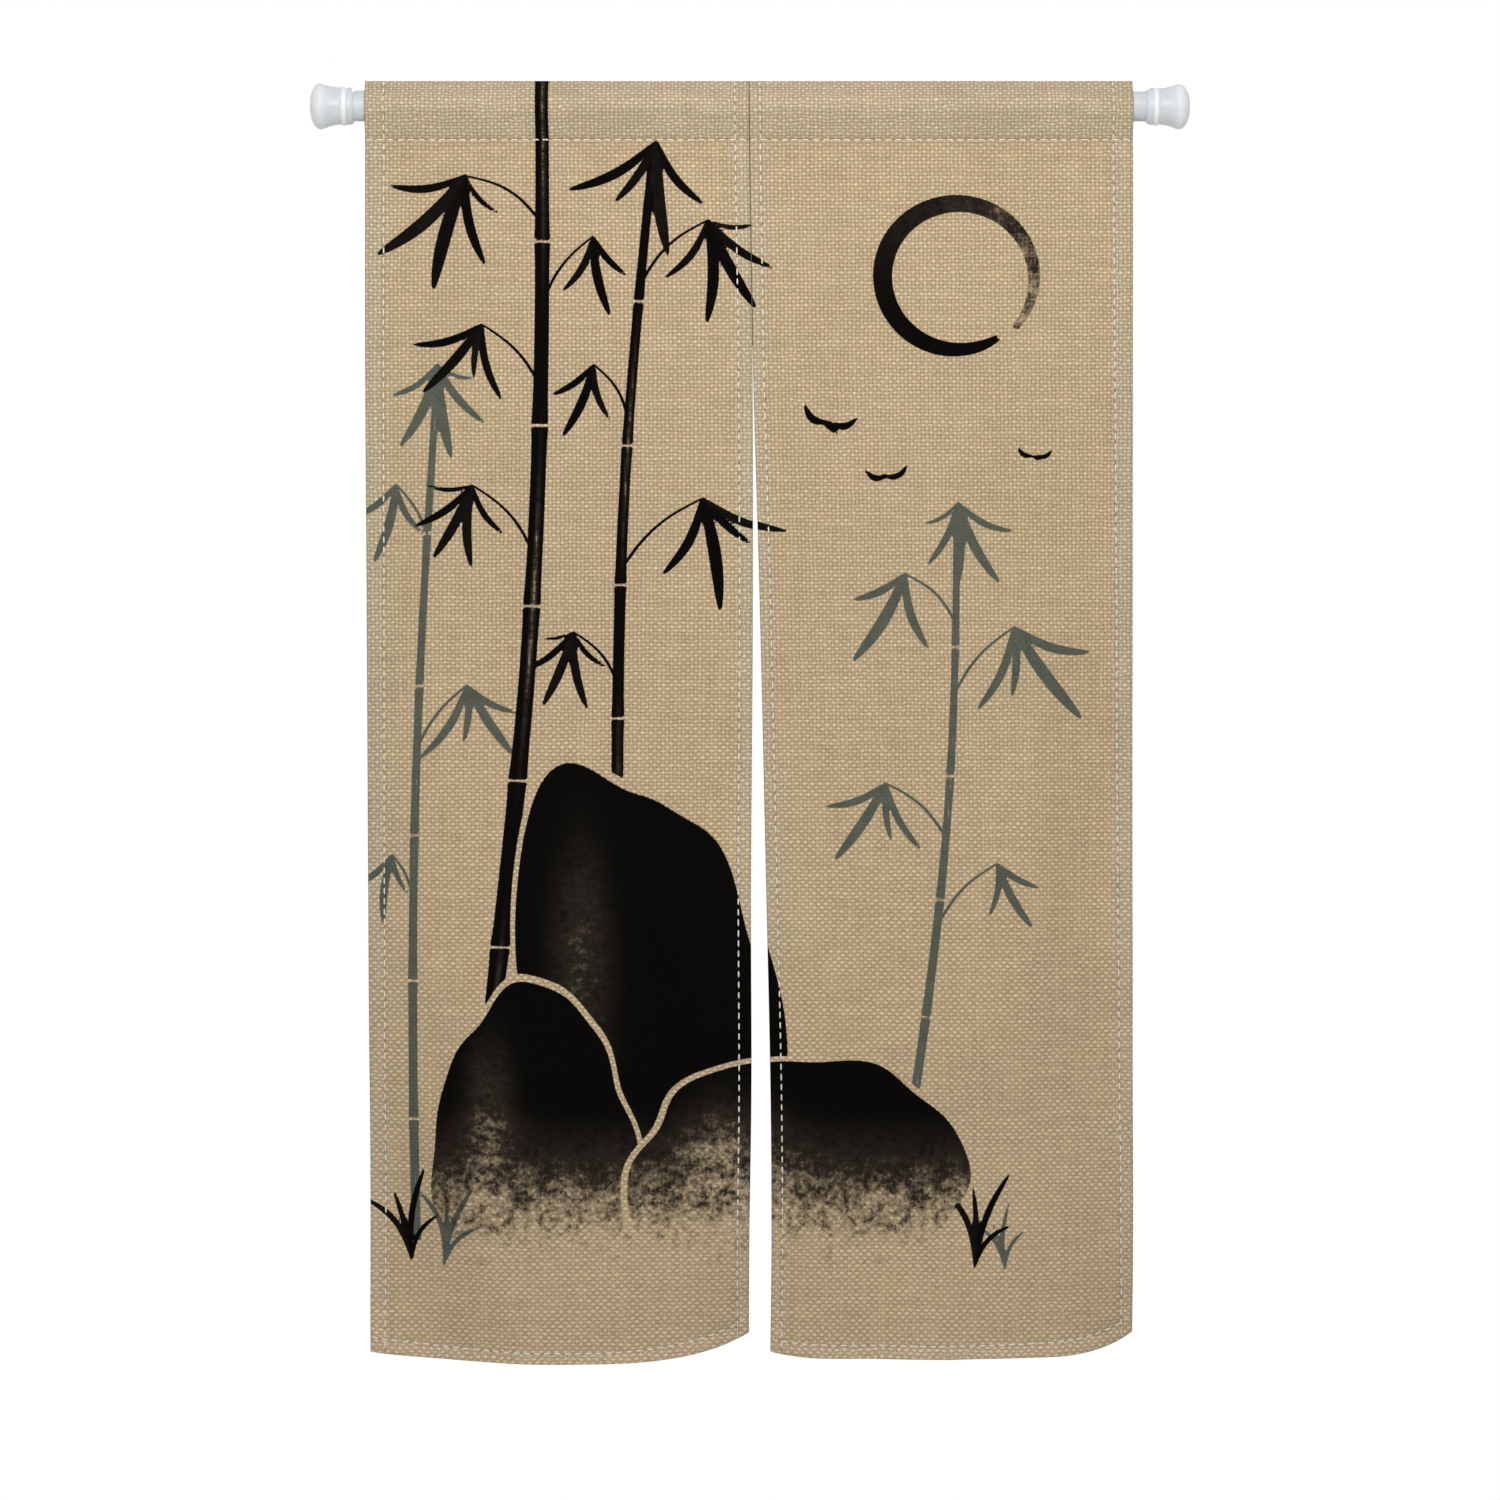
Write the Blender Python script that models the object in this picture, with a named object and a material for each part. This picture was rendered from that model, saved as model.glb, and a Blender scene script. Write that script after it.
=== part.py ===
"""A split noren curtain of two cloth panels, hanging by its rod pockets from a tension rod.

The rod lies along X with its axis at Y = 0, Z = 0. The centre of the left cap's outer face is the
origin, and the front of the cloth faces -Y. Lengths are in metres.
"""

import math
from collections import namedtuple

import bmesh
import bpy
import numpy as np

# Rod
ROD_SPAN = 0.9867
TUBE_RADIUS = 0.0172
TUBE_WALL = 0.0012
FIT_GAP = 0.0003
SOCKET_FLOOR = 0.024
ROUND_SIDES = 40

# Cloth
ROD_MIDDLE = ROD_SPAN / 2
PANEL_WIDTH = 0.430
CLOTH = 0.0013
TOP_CREASE = 0.0281
POCKET_STITCH = -0.0370
HANG = 1.3735
RIGHT_IS_SHORTER = 0.0039
POCKET_RADIUS = TUBE_RADIUS + 0.0005
POCKET_ARC_STEPS = 6
HEADING_HEM = 0.008
BOTTOM_HEM = 0.016
OUTER_HEM = 0.022
SLIT_HEM = 0.017
HEM_STEP = 0.0015
HEM_ROWS = 2
SEAM_GAP = 0.0003
BODY_COLUMNS = 15
BODY_ROWS = 34
ROWS_CLOSER_BELOW = 1.25
TURN_GROWTH = 1.3
TURN_SHARPNESS = 1.8

# The panels' upright edges at a depth below the top crease, as distances right of the rod's middle
Level = namedtuple("Level", "below_top left_edge seam slit right_edge")
LEVELS = (
    Level(0.000, -0.4320, -0.0011, 0.0000, 0.4292),
    Level(0.065, -0.4320, -0.0006, 0.0000, 0.4298),
    Level(0.296, -0.4321, 0.0027, 0.0000, 0.4300),
    Level(0.583, -0.4306, 0.0034, 0.0073, 0.4304),
    Level(0.920, -0.4294, 0.0013, 0.0170, 0.4309),
    Level(1.144, -0.4286, 0.0017, 0.0213, 0.4314),
    Level(1.312, -0.4280, -0.0007, 0.0247, 0.4320),
    Level(1.442, -0.4276, -0.0010, 0.0236, 0.4325),
)

# Where the hem rises towards a corner: how far in it starts, and how much higher the corner is
Lift = namedtuple("Lift", "side reach rise power")
LEFT_LIFTS = (
    Lift("left", 0.191, 0.0095, 2.20),
    Lift("right", 0.242, 0.0305, 4.00),
)
RIGHT_LIFTS = (
    Lift("left", 0.081, 0.0056, 2.55),
    Lift("right", 0.216, 0.0044, 0.65),
    Lift("right", 0.124, 0.0212, 3.25),
)

# Soft vertical folds: across is from the panel's left edge, and depth is backwards, away from the viewer
Fold = namedtuple("Fold", "across_top across_hem half_width depth start")
LEFT_FOLDS = (
    Fold(0.024, 0.219, 0.164, -0.0235, 0.01),
    Fold(0.386, 0.417, 0.181, -0.0225, 0.22),
)
RIGHT_FOLDS = (
    Fold(0.269, 0.254, 0.148, -0.0220, 0.42),
    Fold(0.315, 0.245, 0.106, 0.0090, 0.36),
)

# Slanting troughs, from an upper point to a lower one
Slant = namedtuple("Slant", "across_top down_top across_low down_low half_width depth")
LEFT_SLANTS = (
    Slant(-0.048, 0.981, 0.164, 1.554, 0.081, 0.0168),
    Slant(0.117, 0.207, 0.158, 0.815, 0.071, 0.0158),
    Slant(0.313, 0.484, 0.096, 0.765, 0.094, 0.0069),
)
RIGHT_SLANTS = (
    Slant(0.470, 0.941, 0.000, 1.395, 0.108, 0.0107),
    Slant(0.413, 0.205, 0.348, 1.527, 0.081, 0.0159),
)

# Side edges that turn back, more and more towards the hem
Turn = namedtuple("Turn", "side reach_top reach_hem depth start")
LEFT_TURNS = (
    Turn("left", 0.030, 0.120, 0.024, 0.05),
    Turn("right", 0.050, 0.070, 0.006, 0.35),
)
RIGHT_TURNS = (
    Turn("right", 0.040, 0.100, 0.026, 0.05),
    Turn("left", 0.040, 0.080, 0.012, 0.35),
)

# Bottom corners that curl back
Curl = namedtuple("Curl", "side reach_in reach_up depth")
LEFT_CURLS = (Curl("right", 0.170, 0.230, 0.046),)
RIGHT_CURLS = (
    Curl("right", 0.090, 0.170, 0.024),
    Curl("left", 0.055, 0.110, 0.012),
)

Panel = namedtuple("Panel", "name side hang lifts folds slants turns curls left_hem right_hem")
PANELS = (
    Panel("left_panel", "left", HANG, LEFT_LIFTS, LEFT_FOLDS, LEFT_SLANTS, LEFT_TURNS, LEFT_CURLS,
          OUTER_HEM, SLIT_HEM),
    Panel("right_panel", "right", HANG - RIGHT_IS_SHORTER, RIGHT_LIFTS, RIGHT_FOLDS, RIGHT_SLANTS,
          RIGHT_TURNS, RIGHT_CURLS, SLIT_HEM, OUTER_HEM),
)

# The cap's turned profile, from the edge of its flat outer face to its mouth
Ring = namedtuple("Ring", "from_face radius")
CAP_RINGS = (
    Ring(0.0000, 0.0100),
    Ring(0.0021, 0.0176),
    Ring(0.0050, 0.0226),
    Ring(0.0085, 0.0254),
    Ring(0.0118, 0.0262),
    Ring(0.0148, 0.0257),
    Ring(0.0188, 0.0241),
    Ring(0.0240, 0.0224),
    Ring(0.0300, 0.0214),
    Ring(0.0355, 0.0212),
    Ring(0.0385, 0.0218),
    Ring(0.0415, 0.0219),
    Ring(0.0455, 0.0211),
    Ring(0.0480, 0.0196),
    Ring(0.0492, 0.0184),
)

# Looks
Finish = namedtuple("Finish", "color roughness")
TAN_CLOTH = Finish((0.45, 0.36, 0.24, 1.0), 0.90)
WHITE_PAINT = Finish((0.70, 0.74, 0.79, 1.0), 0.35)
WHITE_PLASTIC = Finish((0.74, 0.78, 0.81, 1.0), 0.30)
SMOOTH_UP_TO = math.radians(35)


def clear_scene():
    for thing in list(bpy.data.objects):
        bpy.data.objects.remove(thing, do_unlink=True)


def make_material(name, finish):
    material = bpy.data.materials.new(name)
    material.use_nodes = True
    shader = material.node_tree.nodes["Principled BSDF"]
    shader.inputs["Base Color"].default_value = finish.color
    shader.inputs["Roughness"].default_value = finish.roughness
    shader.inputs["Metallic"].default_value = 0.0
    return material


def make_object(name, points, faces, material):
    """One closed mesh with its faces pointing out."""
    mesh = bpy.data.meshes.new(name)
    mesh.from_pydata([tuple(point) for point in points], [], faces)
    shell = bmesh.new()
    shell.from_mesh(mesh)
    bmesh.ops.recalc_face_normals(shell, faces=shell.faces)
    shell.to_mesh(mesh)
    shell.free()
    mesh.shade_smooth()
    mesh.set_sharp_from_angle(angle=SMOOTH_UP_TO)
    mesh.materials.append(material)
    thing = bpy.data.objects.new(name, mesh)
    bpy.context.scene.collection.objects.link(thing)
    return thing


def turned(rings, start_x, direction):
    """Points and faces of a solid turned about the rod's axis, closed by discs at both ends."""
    points = []
    for ring in rings:
        for side in range(ROUND_SIDES):
            angle = 2 * math.pi * side / ROUND_SIDES
            points.append((
                start_x + direction * ring.from_face,
                ring.radius * math.sin(angle),
                ring.radius * math.cos(angle),
            ))
    faces = [tuple(range(ROUND_SIDES)), tuple(range(len(points) - ROUND_SIDES, len(points)))]
    for row in range(len(rings) - 1):
        faces += band(row * ROUND_SIDES, (row + 1) * ROUND_SIDES)
    return points, faces


def band(first, second):
    """The quads between two rings of points."""
    quads = []
    for side in range(ROUND_SIDES):
        after = (side + 1) % ROUND_SIDES
        quads.append((first + side, first + after, second + after, second + side))
    return quads


def build_cap(name, start_x, direction, material):
    socket_radius = TUBE_RADIUS + FIT_GAP
    mouth = Ring(CAP_RINGS[-1].from_face, socket_radius)
    floor = Ring(SOCKET_FLOOR, socket_radius)
    points, faces = turned(CAP_RINGS + (mouth, floor), start_x, direction)
    make_object(name, points, faces, material)


def build_tube(material):
    """A tube open at both ends, which stop just short of the caps' socket floors."""
    near = SOCKET_FLOOR + FIT_GAP
    far = ROD_SPAN - near
    bore = TUBE_RADIUS - TUBE_WALL
    rings = (Ring(near, TUBE_RADIUS), Ring(far, TUBE_RADIUS), Ring(far, bore), Ring(near, bore))
    points, faces = turned(rings, 0.0, 1)
    sides = faces[2:] + band(3 * ROUND_SIDES, 0)
    make_object("rod_tube", points, sides, material)


def eased(value):
    value = np.clip(value, 0.0, 1.0)
    return value * value * (3.0 - 2.0 * value)


def at_level(column, below_top):
    """A smooth curve through one column of the table of levels."""
    depths = np.array([level.below_top for level in LEVELS])
    values = np.array([getattr(level, column) for level in LEVELS])
    slopes = np.gradient(values, depths)
    after = np.clip(np.searchsorted(depths, below_top, side="right"), 1, len(depths) - 1)
    span = depths[after] - depths[after - 1]
    share = np.clip((below_top - depths[after - 1]) / span, 0.0, 1.0)
    bend_in = share * (1 - share) ** 2 * span * slopes[after - 1]
    bend_out = share ** 2 * (share - 1) * span * slopes[after]
    return values[after - 1] + (values[after] - values[after - 1]) * eased(share) + bend_in + bend_out


def from_edge(side, across):
    return across if side == "left" else PANEL_WIDTH - across


def hang_length(panel, across):
    """How far the panel reaches below its pocket stitches."""
    length = panel.hang
    for lift in panel.lifts:
        length -= lift.rise * max(0.0, 1 - from_edge(lift.side, across) / lift.reach) ** lift.power
    return length


def depth_back(panel, across, down):
    """How far back the cloth lies, at a place across the panel and down from its pocket stitches."""
    back = 0.0
    share = down / HANG
    for fold in panel.folds:
        centre = fold.across_top + (fold.across_hem - fold.across_top) * share
        off = min(1.0, abs(across - centre) / fold.half_width)
        back += fold.depth * eased((down - fold.start) / (HANG - fold.start)) * (1 - off * off) ** 2
    for slant in panel.slants:
        back += slant_depth(slant, across, down)
    for turn in panel.turns:
        grown = max(0.0, (down - turn.start) / (HANG - turn.start))
        reach = turn.reach_top + (turn.reach_hem - turn.reach_top) * grown
        near = max(0.0, 1 - from_edge(turn.side, across) / reach)
        back += turn.depth * grown ** TURN_GROWTH * near ** TURN_SHARPNESS
    for curl in panel.curls:
        near = max(0.0, 1 - from_edge(curl.side, across) / curl.reach_in)
        low = max(0.0, 1 - (hang_length(panel, across) - down) / curl.reach_up)
        back += curl.depth * near ** 2 * low ** 2
    return back


def slant_depth(slant, across, down):
    """A trough that is deepest halfway along its line and runs out at both ends."""
    run = np.array([slant.across_low - slant.across_top, slant.down_low - slant.down_top])
    place = np.array([across - slant.across_top, down - slant.down_top])
    length = np.linalg.norm(run)
    along = float(place @ run) / length ** 2
    off = abs(float(place[0] * run[1] - place[1] * run[0])) / length / slant.half_width
    if not 0.0 < along < 1.0 or off >= 1.0:
        return 0.0
    return slant.depth * math.sin(math.pi * along) ** 2 * (1 - off * off) ** 2


def place_x(panel, across, below_top):
    """A place across a panel, between its outer edge and the seam, or the slit that opens below the seam."""
    seam = at_level("seam", below_top)
    if panel.side == "left":
        left = at_level("left_edge", below_top)
        right = seam - SEAM_GAP / 2
    else:
        left = seam + SEAM_GAP / 2 + max(0.0, at_level("slit", below_top))
        right = at_level("right_edge", below_top)
    return ROD_MIDDLE + left + (right - left) * across / PANEL_WIDTH


def column_places(panel):
    """Places across the panel, with a close pair at the inner edge of each side hem."""
    inner_left = panel.left_hem + HEM_STEP
    inner_right = PANEL_WIDTH - panel.right_hem - HEM_STEP
    body = np.linspace(inner_left, inner_right, BODY_COLUMNS)
    return [0.0, panel.left_hem, *body, PANEL_WIDTH - panel.right_hem, PANEL_WIDTH]


def row_places(length):
    """Places down from the pocket stitches, closer together towards the bottom hem."""
    first = HEADING_HEM + HEM_STEP
    last = length - BOTTOM_HEM - HEM_STEP
    rows = [0.0, HEADING_HEM]
    for step in range(BODY_ROWS + 1):
        share = 1 - (1 - step / BODY_ROWS) ** ROWS_CLOSER_BELOW
        rows.append(first + (last - first) * share)
    return rows + [length - BOTTOM_HEM, length]


def tail_faces(panel, across):
    """The front and back points of one column of cloth below the pocket, from the stitches to the hem."""
    length = hang_length(panel, across)
    rows = row_places(length)
    in_side_hem = from_edge("left", across) <= panel.left_hem or from_edge("right", across) <= panel.right_hem
    front = []
    rear = []
    for number, down in enumerate(rows):
        below_top = TOP_CREASE - POCKET_STITCH + down
        x = place_x(panel, across, below_top)
        z = POCKET_STITCH - down
        y = depth_back(panel, across, down) - CLOTH / 2
        doubled = in_side_hem or not HEM_ROWS <= number < len(rows) - HEM_ROWS
        front.append((x, y, z))
        rear.append((x, y + CLOTH * (2 if doubled else 1), z))
    return front, rear


def pocket_section():
    """The pocket's outer and inner lines in Y and Z, from the stitches up the front, over and down the back.

    The cloth lies round the tube, and runs straight from it to the stitches below and the crease above.
    """
    lower = POCKET_RADIUS / -POCKET_STITCH
    half_crease = math.asin(POCKET_RADIUS / inner_crease())
    first = math.pi - math.acos(lower)
    last = math.pi / 2 - half_crease
    outer = []
    inner = []
    for step in range(POCKET_ARC_STEPS + 1):
        angle = first + (last - first) * step / POCKET_ARC_STEPS
        sine, cosine = math.sin(angle), math.cos(angle)
        inner.append((-POCKET_RADIUS * sine, POCKET_RADIUS * cosine))
        outer.append((-(POCKET_RADIUS + CLOTH) * sine, (POCKET_RADIUS + CLOTH) * cosine))
    inner_back = [(-y, z) for y, z in reversed(inner)]
    outer_back = [(-y, z) for y, z in reversed(outer)]
    return outer + [(0.0, TOP_CREASE)] + outer_back, inner + [(0.0, inner_crease())] + inner_back


def inner_crease():
    """Height of the crease's inside, so that the cloth keeps its thickness beside the crease."""
    return TOP_CREASE * POCKET_RADIUS / (POCKET_RADIUS + CLOTH)


def build_panel(panel, material):
    """One closed sheet: the pocket's tunnel, the heading and the hanging cloth with its hems."""
    outer_line, inner_line = pocket_section()
    columns = column_places(panel)
    points = []
    for across in columns:
        front, rear = tail_faces(panel, across)
        pocket_outer = [(place_x(panel, across, TOP_CREASE - z), y, z) for y, z in outer_line]
        points += list(reversed(front)) + pocket_outer + rear
        points.append((front[0][0], front[0][1] + CLOTH, front[0][2]))
        points += [(place_x(panel, across, TOP_CREASE - z), y, z) for y, z in inner_line]
    tail = len(front)
    skin = 2 * tail + len(outer_line)
    per_column = skin + 1 + len(inner_line)
    faces = []
    for column in range(len(columns) - 1):
        here = column * per_column
        there = here + per_column
        faces += ring_quads(here, there, 0, skin)
        faces += ring_quads(here, there, skin, 1 + len(inner_line))
    faces += end_faces(0, tail, skin, len(outer_line))
    faces += end_faces((len(columns) - 1) * per_column, tail, skin, len(outer_line))
    make_object(panel.name, points, faces, material)


def ring_quads(here, there, first, count):
    """The quads between two columns' closed lines of points."""
    quads = []
    for step in range(count):
        one = first + step
        two = first + (step + 1) % count
        quads.append((here + one, here + two, there + two, there + one))
    return quads


def end_faces(base, tail, skin, pocket):
    """Closes one side edge of a panel, leaving the pocket's tunnel open."""
    last_rear = base + 2 * tail + pocket - 1
    faces = []
    for row in range(tail - 2):
        faces.append((base + row, base + row + 1, last_rear - row - 1, last_rear - row))
    seam_front = base + tail - 1
    seam_rear = base + tail + pocket
    seam_inner = base + skin
    faces.append((seam_front - 1, seam_front, seam_inner, seam_rear, seam_rear + 1))
    for step in range(pocket + 1):
        outer = seam_front + step
        inner = seam_inner + step
        after = seam_inner + (step + 1) % (pocket + 1)
        faces.append((outer, outer + 1, after, inner))
    return faces


def main():
    clear_scene()
    cloth = make_material("cloth", TAN_CLOTH)
    paint = make_material("rod_paint", WHITE_PAINT)
    plastic = make_material("cap_plastic", WHITE_PLASTIC)
    for panel in PANELS:
        build_panel(panel, cloth)
    build_tube(paint)
    build_cap("rod_cap_left", 0.0, 1, plastic)
    build_cap("rod_cap_right", ROD_SPAN, -1, plastic)


main()
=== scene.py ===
import math
from collections import namedtuple
import bpy
import numpy as np
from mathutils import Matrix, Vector


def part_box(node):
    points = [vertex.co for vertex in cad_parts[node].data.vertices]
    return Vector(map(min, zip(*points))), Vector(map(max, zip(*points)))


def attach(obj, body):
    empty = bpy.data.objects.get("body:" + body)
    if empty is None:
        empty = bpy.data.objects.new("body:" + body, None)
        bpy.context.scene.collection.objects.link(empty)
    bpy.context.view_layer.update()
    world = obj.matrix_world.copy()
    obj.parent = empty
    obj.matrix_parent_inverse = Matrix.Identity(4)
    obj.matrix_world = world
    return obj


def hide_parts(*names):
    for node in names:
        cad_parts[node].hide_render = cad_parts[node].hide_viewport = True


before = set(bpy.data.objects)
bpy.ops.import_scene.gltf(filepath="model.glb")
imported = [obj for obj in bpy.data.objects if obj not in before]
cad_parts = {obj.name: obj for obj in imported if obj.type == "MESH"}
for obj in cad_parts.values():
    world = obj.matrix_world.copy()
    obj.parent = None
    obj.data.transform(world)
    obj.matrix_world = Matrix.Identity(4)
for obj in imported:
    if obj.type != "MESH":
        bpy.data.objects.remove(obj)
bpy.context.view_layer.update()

# The view: straight on from the front, level, with a long lens, as the curtain is pictured.
# One photo pixel is 1.1226 mm at the rod's axis, and the axis lies 106 pixels below the top.
PIXELS = 1500
PIXEL_SIZE = 0.0011226
AXIS_PIXEL = 106
CAMERA_DISTANCE = 6.0
SENSOR_WIDTH = 36.0
rod_middle = (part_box("rod_cap_left")[0].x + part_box("rod_cap_right")[1].x) / 2
view_height = (AXIS_PIXEL - PIXELS / 2) * PIXEL_SIZE

camera_data = bpy.data.cameras.new("front_camera")
camera_data.sensor_width = SENSOR_WIDTH
camera_data.lens = SENSOR_WIDTH * CAMERA_DISTANCE / (PIXELS * PIXEL_SIZE)
camera_data.clip_end = 50.0
camera = bpy.data.objects.new("front_camera", camera_data)
camera.location = (rod_middle, -CAMERA_DISTANCE, view_height)
camera.rotation_euler = (math.radians(90), 0.0, 0.0)
bpy.context.scene.collection.objects.link(camera)
bpy.context.scene.camera = camera
bpy.context.scene.view_settings.view_transform = "Standard"

# The studio: a pale floor below the hanging curtain, and a surround that shows as plain white. Soft
# lamps stand in front, to the left and behind. The front one is high, so the heading is lightest.
FLOOR_HEIGHT = -1.95
FLOOR_CORNERS = ((-5.0, -7.0), (5.0, -7.0), (5.0, 2.2), (-5.0, 2.2))
FLOOR_COLOR = (0.68, 0.68, 0.67, 1.0)
FLOOR_GLOW_COLOR = (1.0, 1.0, 0.99, 1.0)
FLOOR_GLOW_GIVEN = 0.03
FLOOR_GLOW_SEEN = 0.62
WHITE = (1.0, 1.0, 1.0, 1.0)
SURROUND_SEEN = 1.0
SURROUND_LIGHT = 0.47
Lamp = namedtuple("Lamp", "name place aim width height power color")
LAMPS = (
    Lamp("key_lamp", (0.0, -1.95, 0.42), (0.0, 0.0, -0.20), 1.3, 0.7, 24.5, (1.0, 0.985, 0.965)),
    Lamp("side_lamp", (-2.2, -1.6, -0.1), (-0.1, 0.0, -0.8), 0.9, 1.4, 1.5, (0.98, 0.99, 1.0)),
    Lamp("rear_lamp", (0.5, 2.6, 0.9), (0.0, 0.0, -0.6), 1.6, 1.2, 58.0, (1.0, 0.99, 0.975)),
)


def solid_object(name, points, faces):
    mesh = bpy.data.meshes.new(name)
    mesh.from_pydata([tuple(point) for point in points], [], faces)
    mesh.update()
    thing = bpy.data.objects.new(name, mesh)
    bpy.context.scene.collection.objects.link(thing)
    return thing


def principled(name, color, roughness, finish=None):
    """A material, its shader with plain values set on it, and a helper for its nodes."""
    material = bpy.data.materials.new(name)
    material.use_nodes = True
    shader = material.node_tree.nodes["Principled BSDF"]
    for title, value in {"Base Color": color, "Roughness": roughness, **(finish or {})}.items():
        shader.inputs[title].default_value = value
    return material, shader, Nodes(material.node_tree)


class Nodes:
    """Adds nodes to one tree and joins them by their sockets."""

    def __init__(self, tree):
        self.tree = tree

    def put(self, target, value):
        if isinstance(value, bpy.types.NodeSocket):
            self.tree.links.new(value, target)
        else:
            target.default_value = value

    def add(self, kind, inputs=None, **settings):
        node = self.tree.nodes.new(kind)
        for name, value in settings.items():
            setattr(node, name, value)
        self.feed(node, inputs or {})
        return node

    def feed(self, node, inputs):
        for title, value in inputs.items():
            self.put(node.inputs[title], value)

    def math(self, operation, *values):
        return self.add("ShaderNodeMath", dict(enumerate(values)), operation=operation).outputs[0]

    def times(self, first, second):
        return self.math("MULTIPLY", first, second)

    def plus(self, first, second):
        return self.math("ADD", first, second)

    def minus(self, first, second):
        return self.math("SUBTRACT", first, second)

    def noise(self, place, scale, detail=2.0, roughness=0.5):
        inputs = {"Vector": place, "Scale": scale, "Detail": detail, "Roughness": roughness}
        return self.add("ShaderNodeTexNoise", inputs).outputs["Fac"]

    def mix(self, factor, first, second, blend="MIX"):
        colors = {"Factor": factor, 6: first, 7: second}
        return self.add("ShaderNodeMix", colors, data_type="RGBA", blend_type=blend).outputs[2]

    def tint(self, color, other):
        return self.mix(1.0, color, other, "MULTIPLY")

    def shade(self, color, factor):
        """The colour made lighter or darker by a number."""
        grey = self.add("ShaderNodeCombineColor", {"Red": factor, "Green": factor, "Blue": factor})
        return self.tint(color, grey.outputs["Color"])

    def swing(self, value, amount):
        """A value from 0 to 1, turned into a swing to either side of nothing."""
        return self.times(self.minus(value, 0.5), amount)

    def span(self, value, low, high, out_low=0.0, out_high=1.0):
        """The value's place between low and high, eased, as a number from out_low to out_high."""
        ends = {"From Min": low, "From Max": high, "To Min": out_low, "To Max": out_high}
        inputs = {"Value": value, **ends}
        return self.add("ShaderNodeMapRange", inputs, interpolation_type="SMOOTHSTEP").outputs["Result"]

    def bump(self, height, distance, strength=1.0):
        inputs = {"Height": height, "Distance": distance, "Strength": strength}
        return self.add("ShaderNodeBump", inputs).outputs["Normal"]


floor_corners = [(rod_middle + x, y, FLOOR_HEIGHT) for x, y in FLOOR_CORNERS]
floor = solid_object("studio_floor", floor_corners, [(0, 1, 2, 3)])
floor_paint, floor_shader, nodes = principled("studio_floor", FLOOR_COLOR, 0.8,
                                              {"Emission Color": FLOOR_GLOW_COLOR})
seen = nodes.add("ShaderNodeLightPath").outputs["Is Camera Ray"]
glow = {"Value": seen, "To Min": FLOOR_GLOW_GIVEN, "To Max": FLOOR_GLOW_SEEN}
glow = nodes.add("ShaderNodeMapRange", glow).outputs["Result"]
nodes.feed(floor_shader, {"Emission Strength": glow})
floor.data.materials.append(floor_paint)

for lamp in LAMPS:
    light = bpy.data.lights.new(lamp.name, "AREA")
    light.shape = "RECTANGLE"
    light.size = lamp.width
    light.size_y = lamp.height
    light.energy = lamp.power
    light.color = lamp.color
    place = Vector((rod_middle, 0.0, 0.0)) + Vector(lamp.place)
    aim = Vector((rod_middle, 0.0, 0.0)) + Vector(lamp.aim)
    holder = bpy.data.objects.new(lamp.name, light)
    holder.location = place
    holder.rotation_euler = (aim - place).to_track_quat("-Z", "Y").to_euler()
    bpy.context.scene.collection.objects.link(holder)

world = bpy.data.worlds.new("white_surround")
world.use_nodes = True
bpy.context.scene.world = world
given = world.node_tree.nodes["Background"]
given.inputs["Color"].default_value = WHITE
given.inputs["Strength"].default_value = SURROUND_LIGHT
nodes = Nodes(world.node_tree)
white = nodes.add("ShaderNodeBackground", {"Color": WHITE, "Strength": SURROUND_SEEN})
ray = nodes.add("ShaderNodeLightPath")
shows_white = nodes.math("MAXIMUM", ray.outputs["Is Camera Ray"], ray.outputs["Is Glossy Ray"])
either = nodes.add("ShaderNodeMixShader", {"Fac": shows_white, 1: given.outputs["Background"],
                                           2: white.outputs["Background"]})
nodes.feed(world.node_tree.nodes["World Output"], {"Surface": either.outputs["Shader"]})


# The rod: a steel tube with a smooth white coating, run through both pockets. Its ends sit in the caps.
# Handling has left it a little cloudy, and the coating has a fine orange-peel surface.
TUBE_COLOR = (0.66, 0.725, 0.775, 1.0)
TUBE_CLOUDED = (0.61, 0.67, 0.73, 1.0)
PEEL_SIZE = 900.0
PEEL_DEPTH = 0.00003
CLOUD_SIZE = 35.0


def new_group(name, inputs, outputs):
    """A node group with named sockets: the group, its helper, its input node and its output node."""
    group = bpy.data.node_groups.new(name, "ShaderNodeTree")
    kinds = {"value": "NodeSocketFloat", "color": "NodeSocketColor", "vector": "NodeSocketVector"}
    for title, kind in inputs:
        group.interface.new_socket(title, in_out="INPUT", socket_type=kinds[kind])
    for title, kind in outputs:
        group.interface.new_socket(title, in_out="OUTPUT", socket_type=kinds[kind])
    return group, Nodes(group), group.nodes.new("NodeGroupInput"), group.nodes.new("NodeGroupOutput")


coating, grown, entry, leave = new_group(
    "Coating", [("Place", "vector"), ("Peel Size", "value"), ("Cloud Size", "value")],
    [("Peel", "value"), ("Cloud", "value")])
cloud = grown.noise(entry.outputs["Place"], entry.outputs["Cloud Size"], 3.0)
grown.feed(leave, {"Peel": grown.noise(entry.outputs["Place"], entry.outputs["Peel Size"]),
                   "Cloud": grown.span(cloud, 0.35, 0.7)})


def coated(nodes, peel_size, cloud_size):
    """The coating placed in a material: its peel's height and its clouds."""
    place = nodes.add("ShaderNodeTexCoord").outputs["Object"]
    sizes = {"Place": place, "Peel Size": peel_size, "Cloud Size": cloud_size}
    placed = nodes.add("ShaderNodeGroup", sizes, node_tree=coating)
    return placed.outputs["Peel"], placed.outputs["Cloud"]


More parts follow.
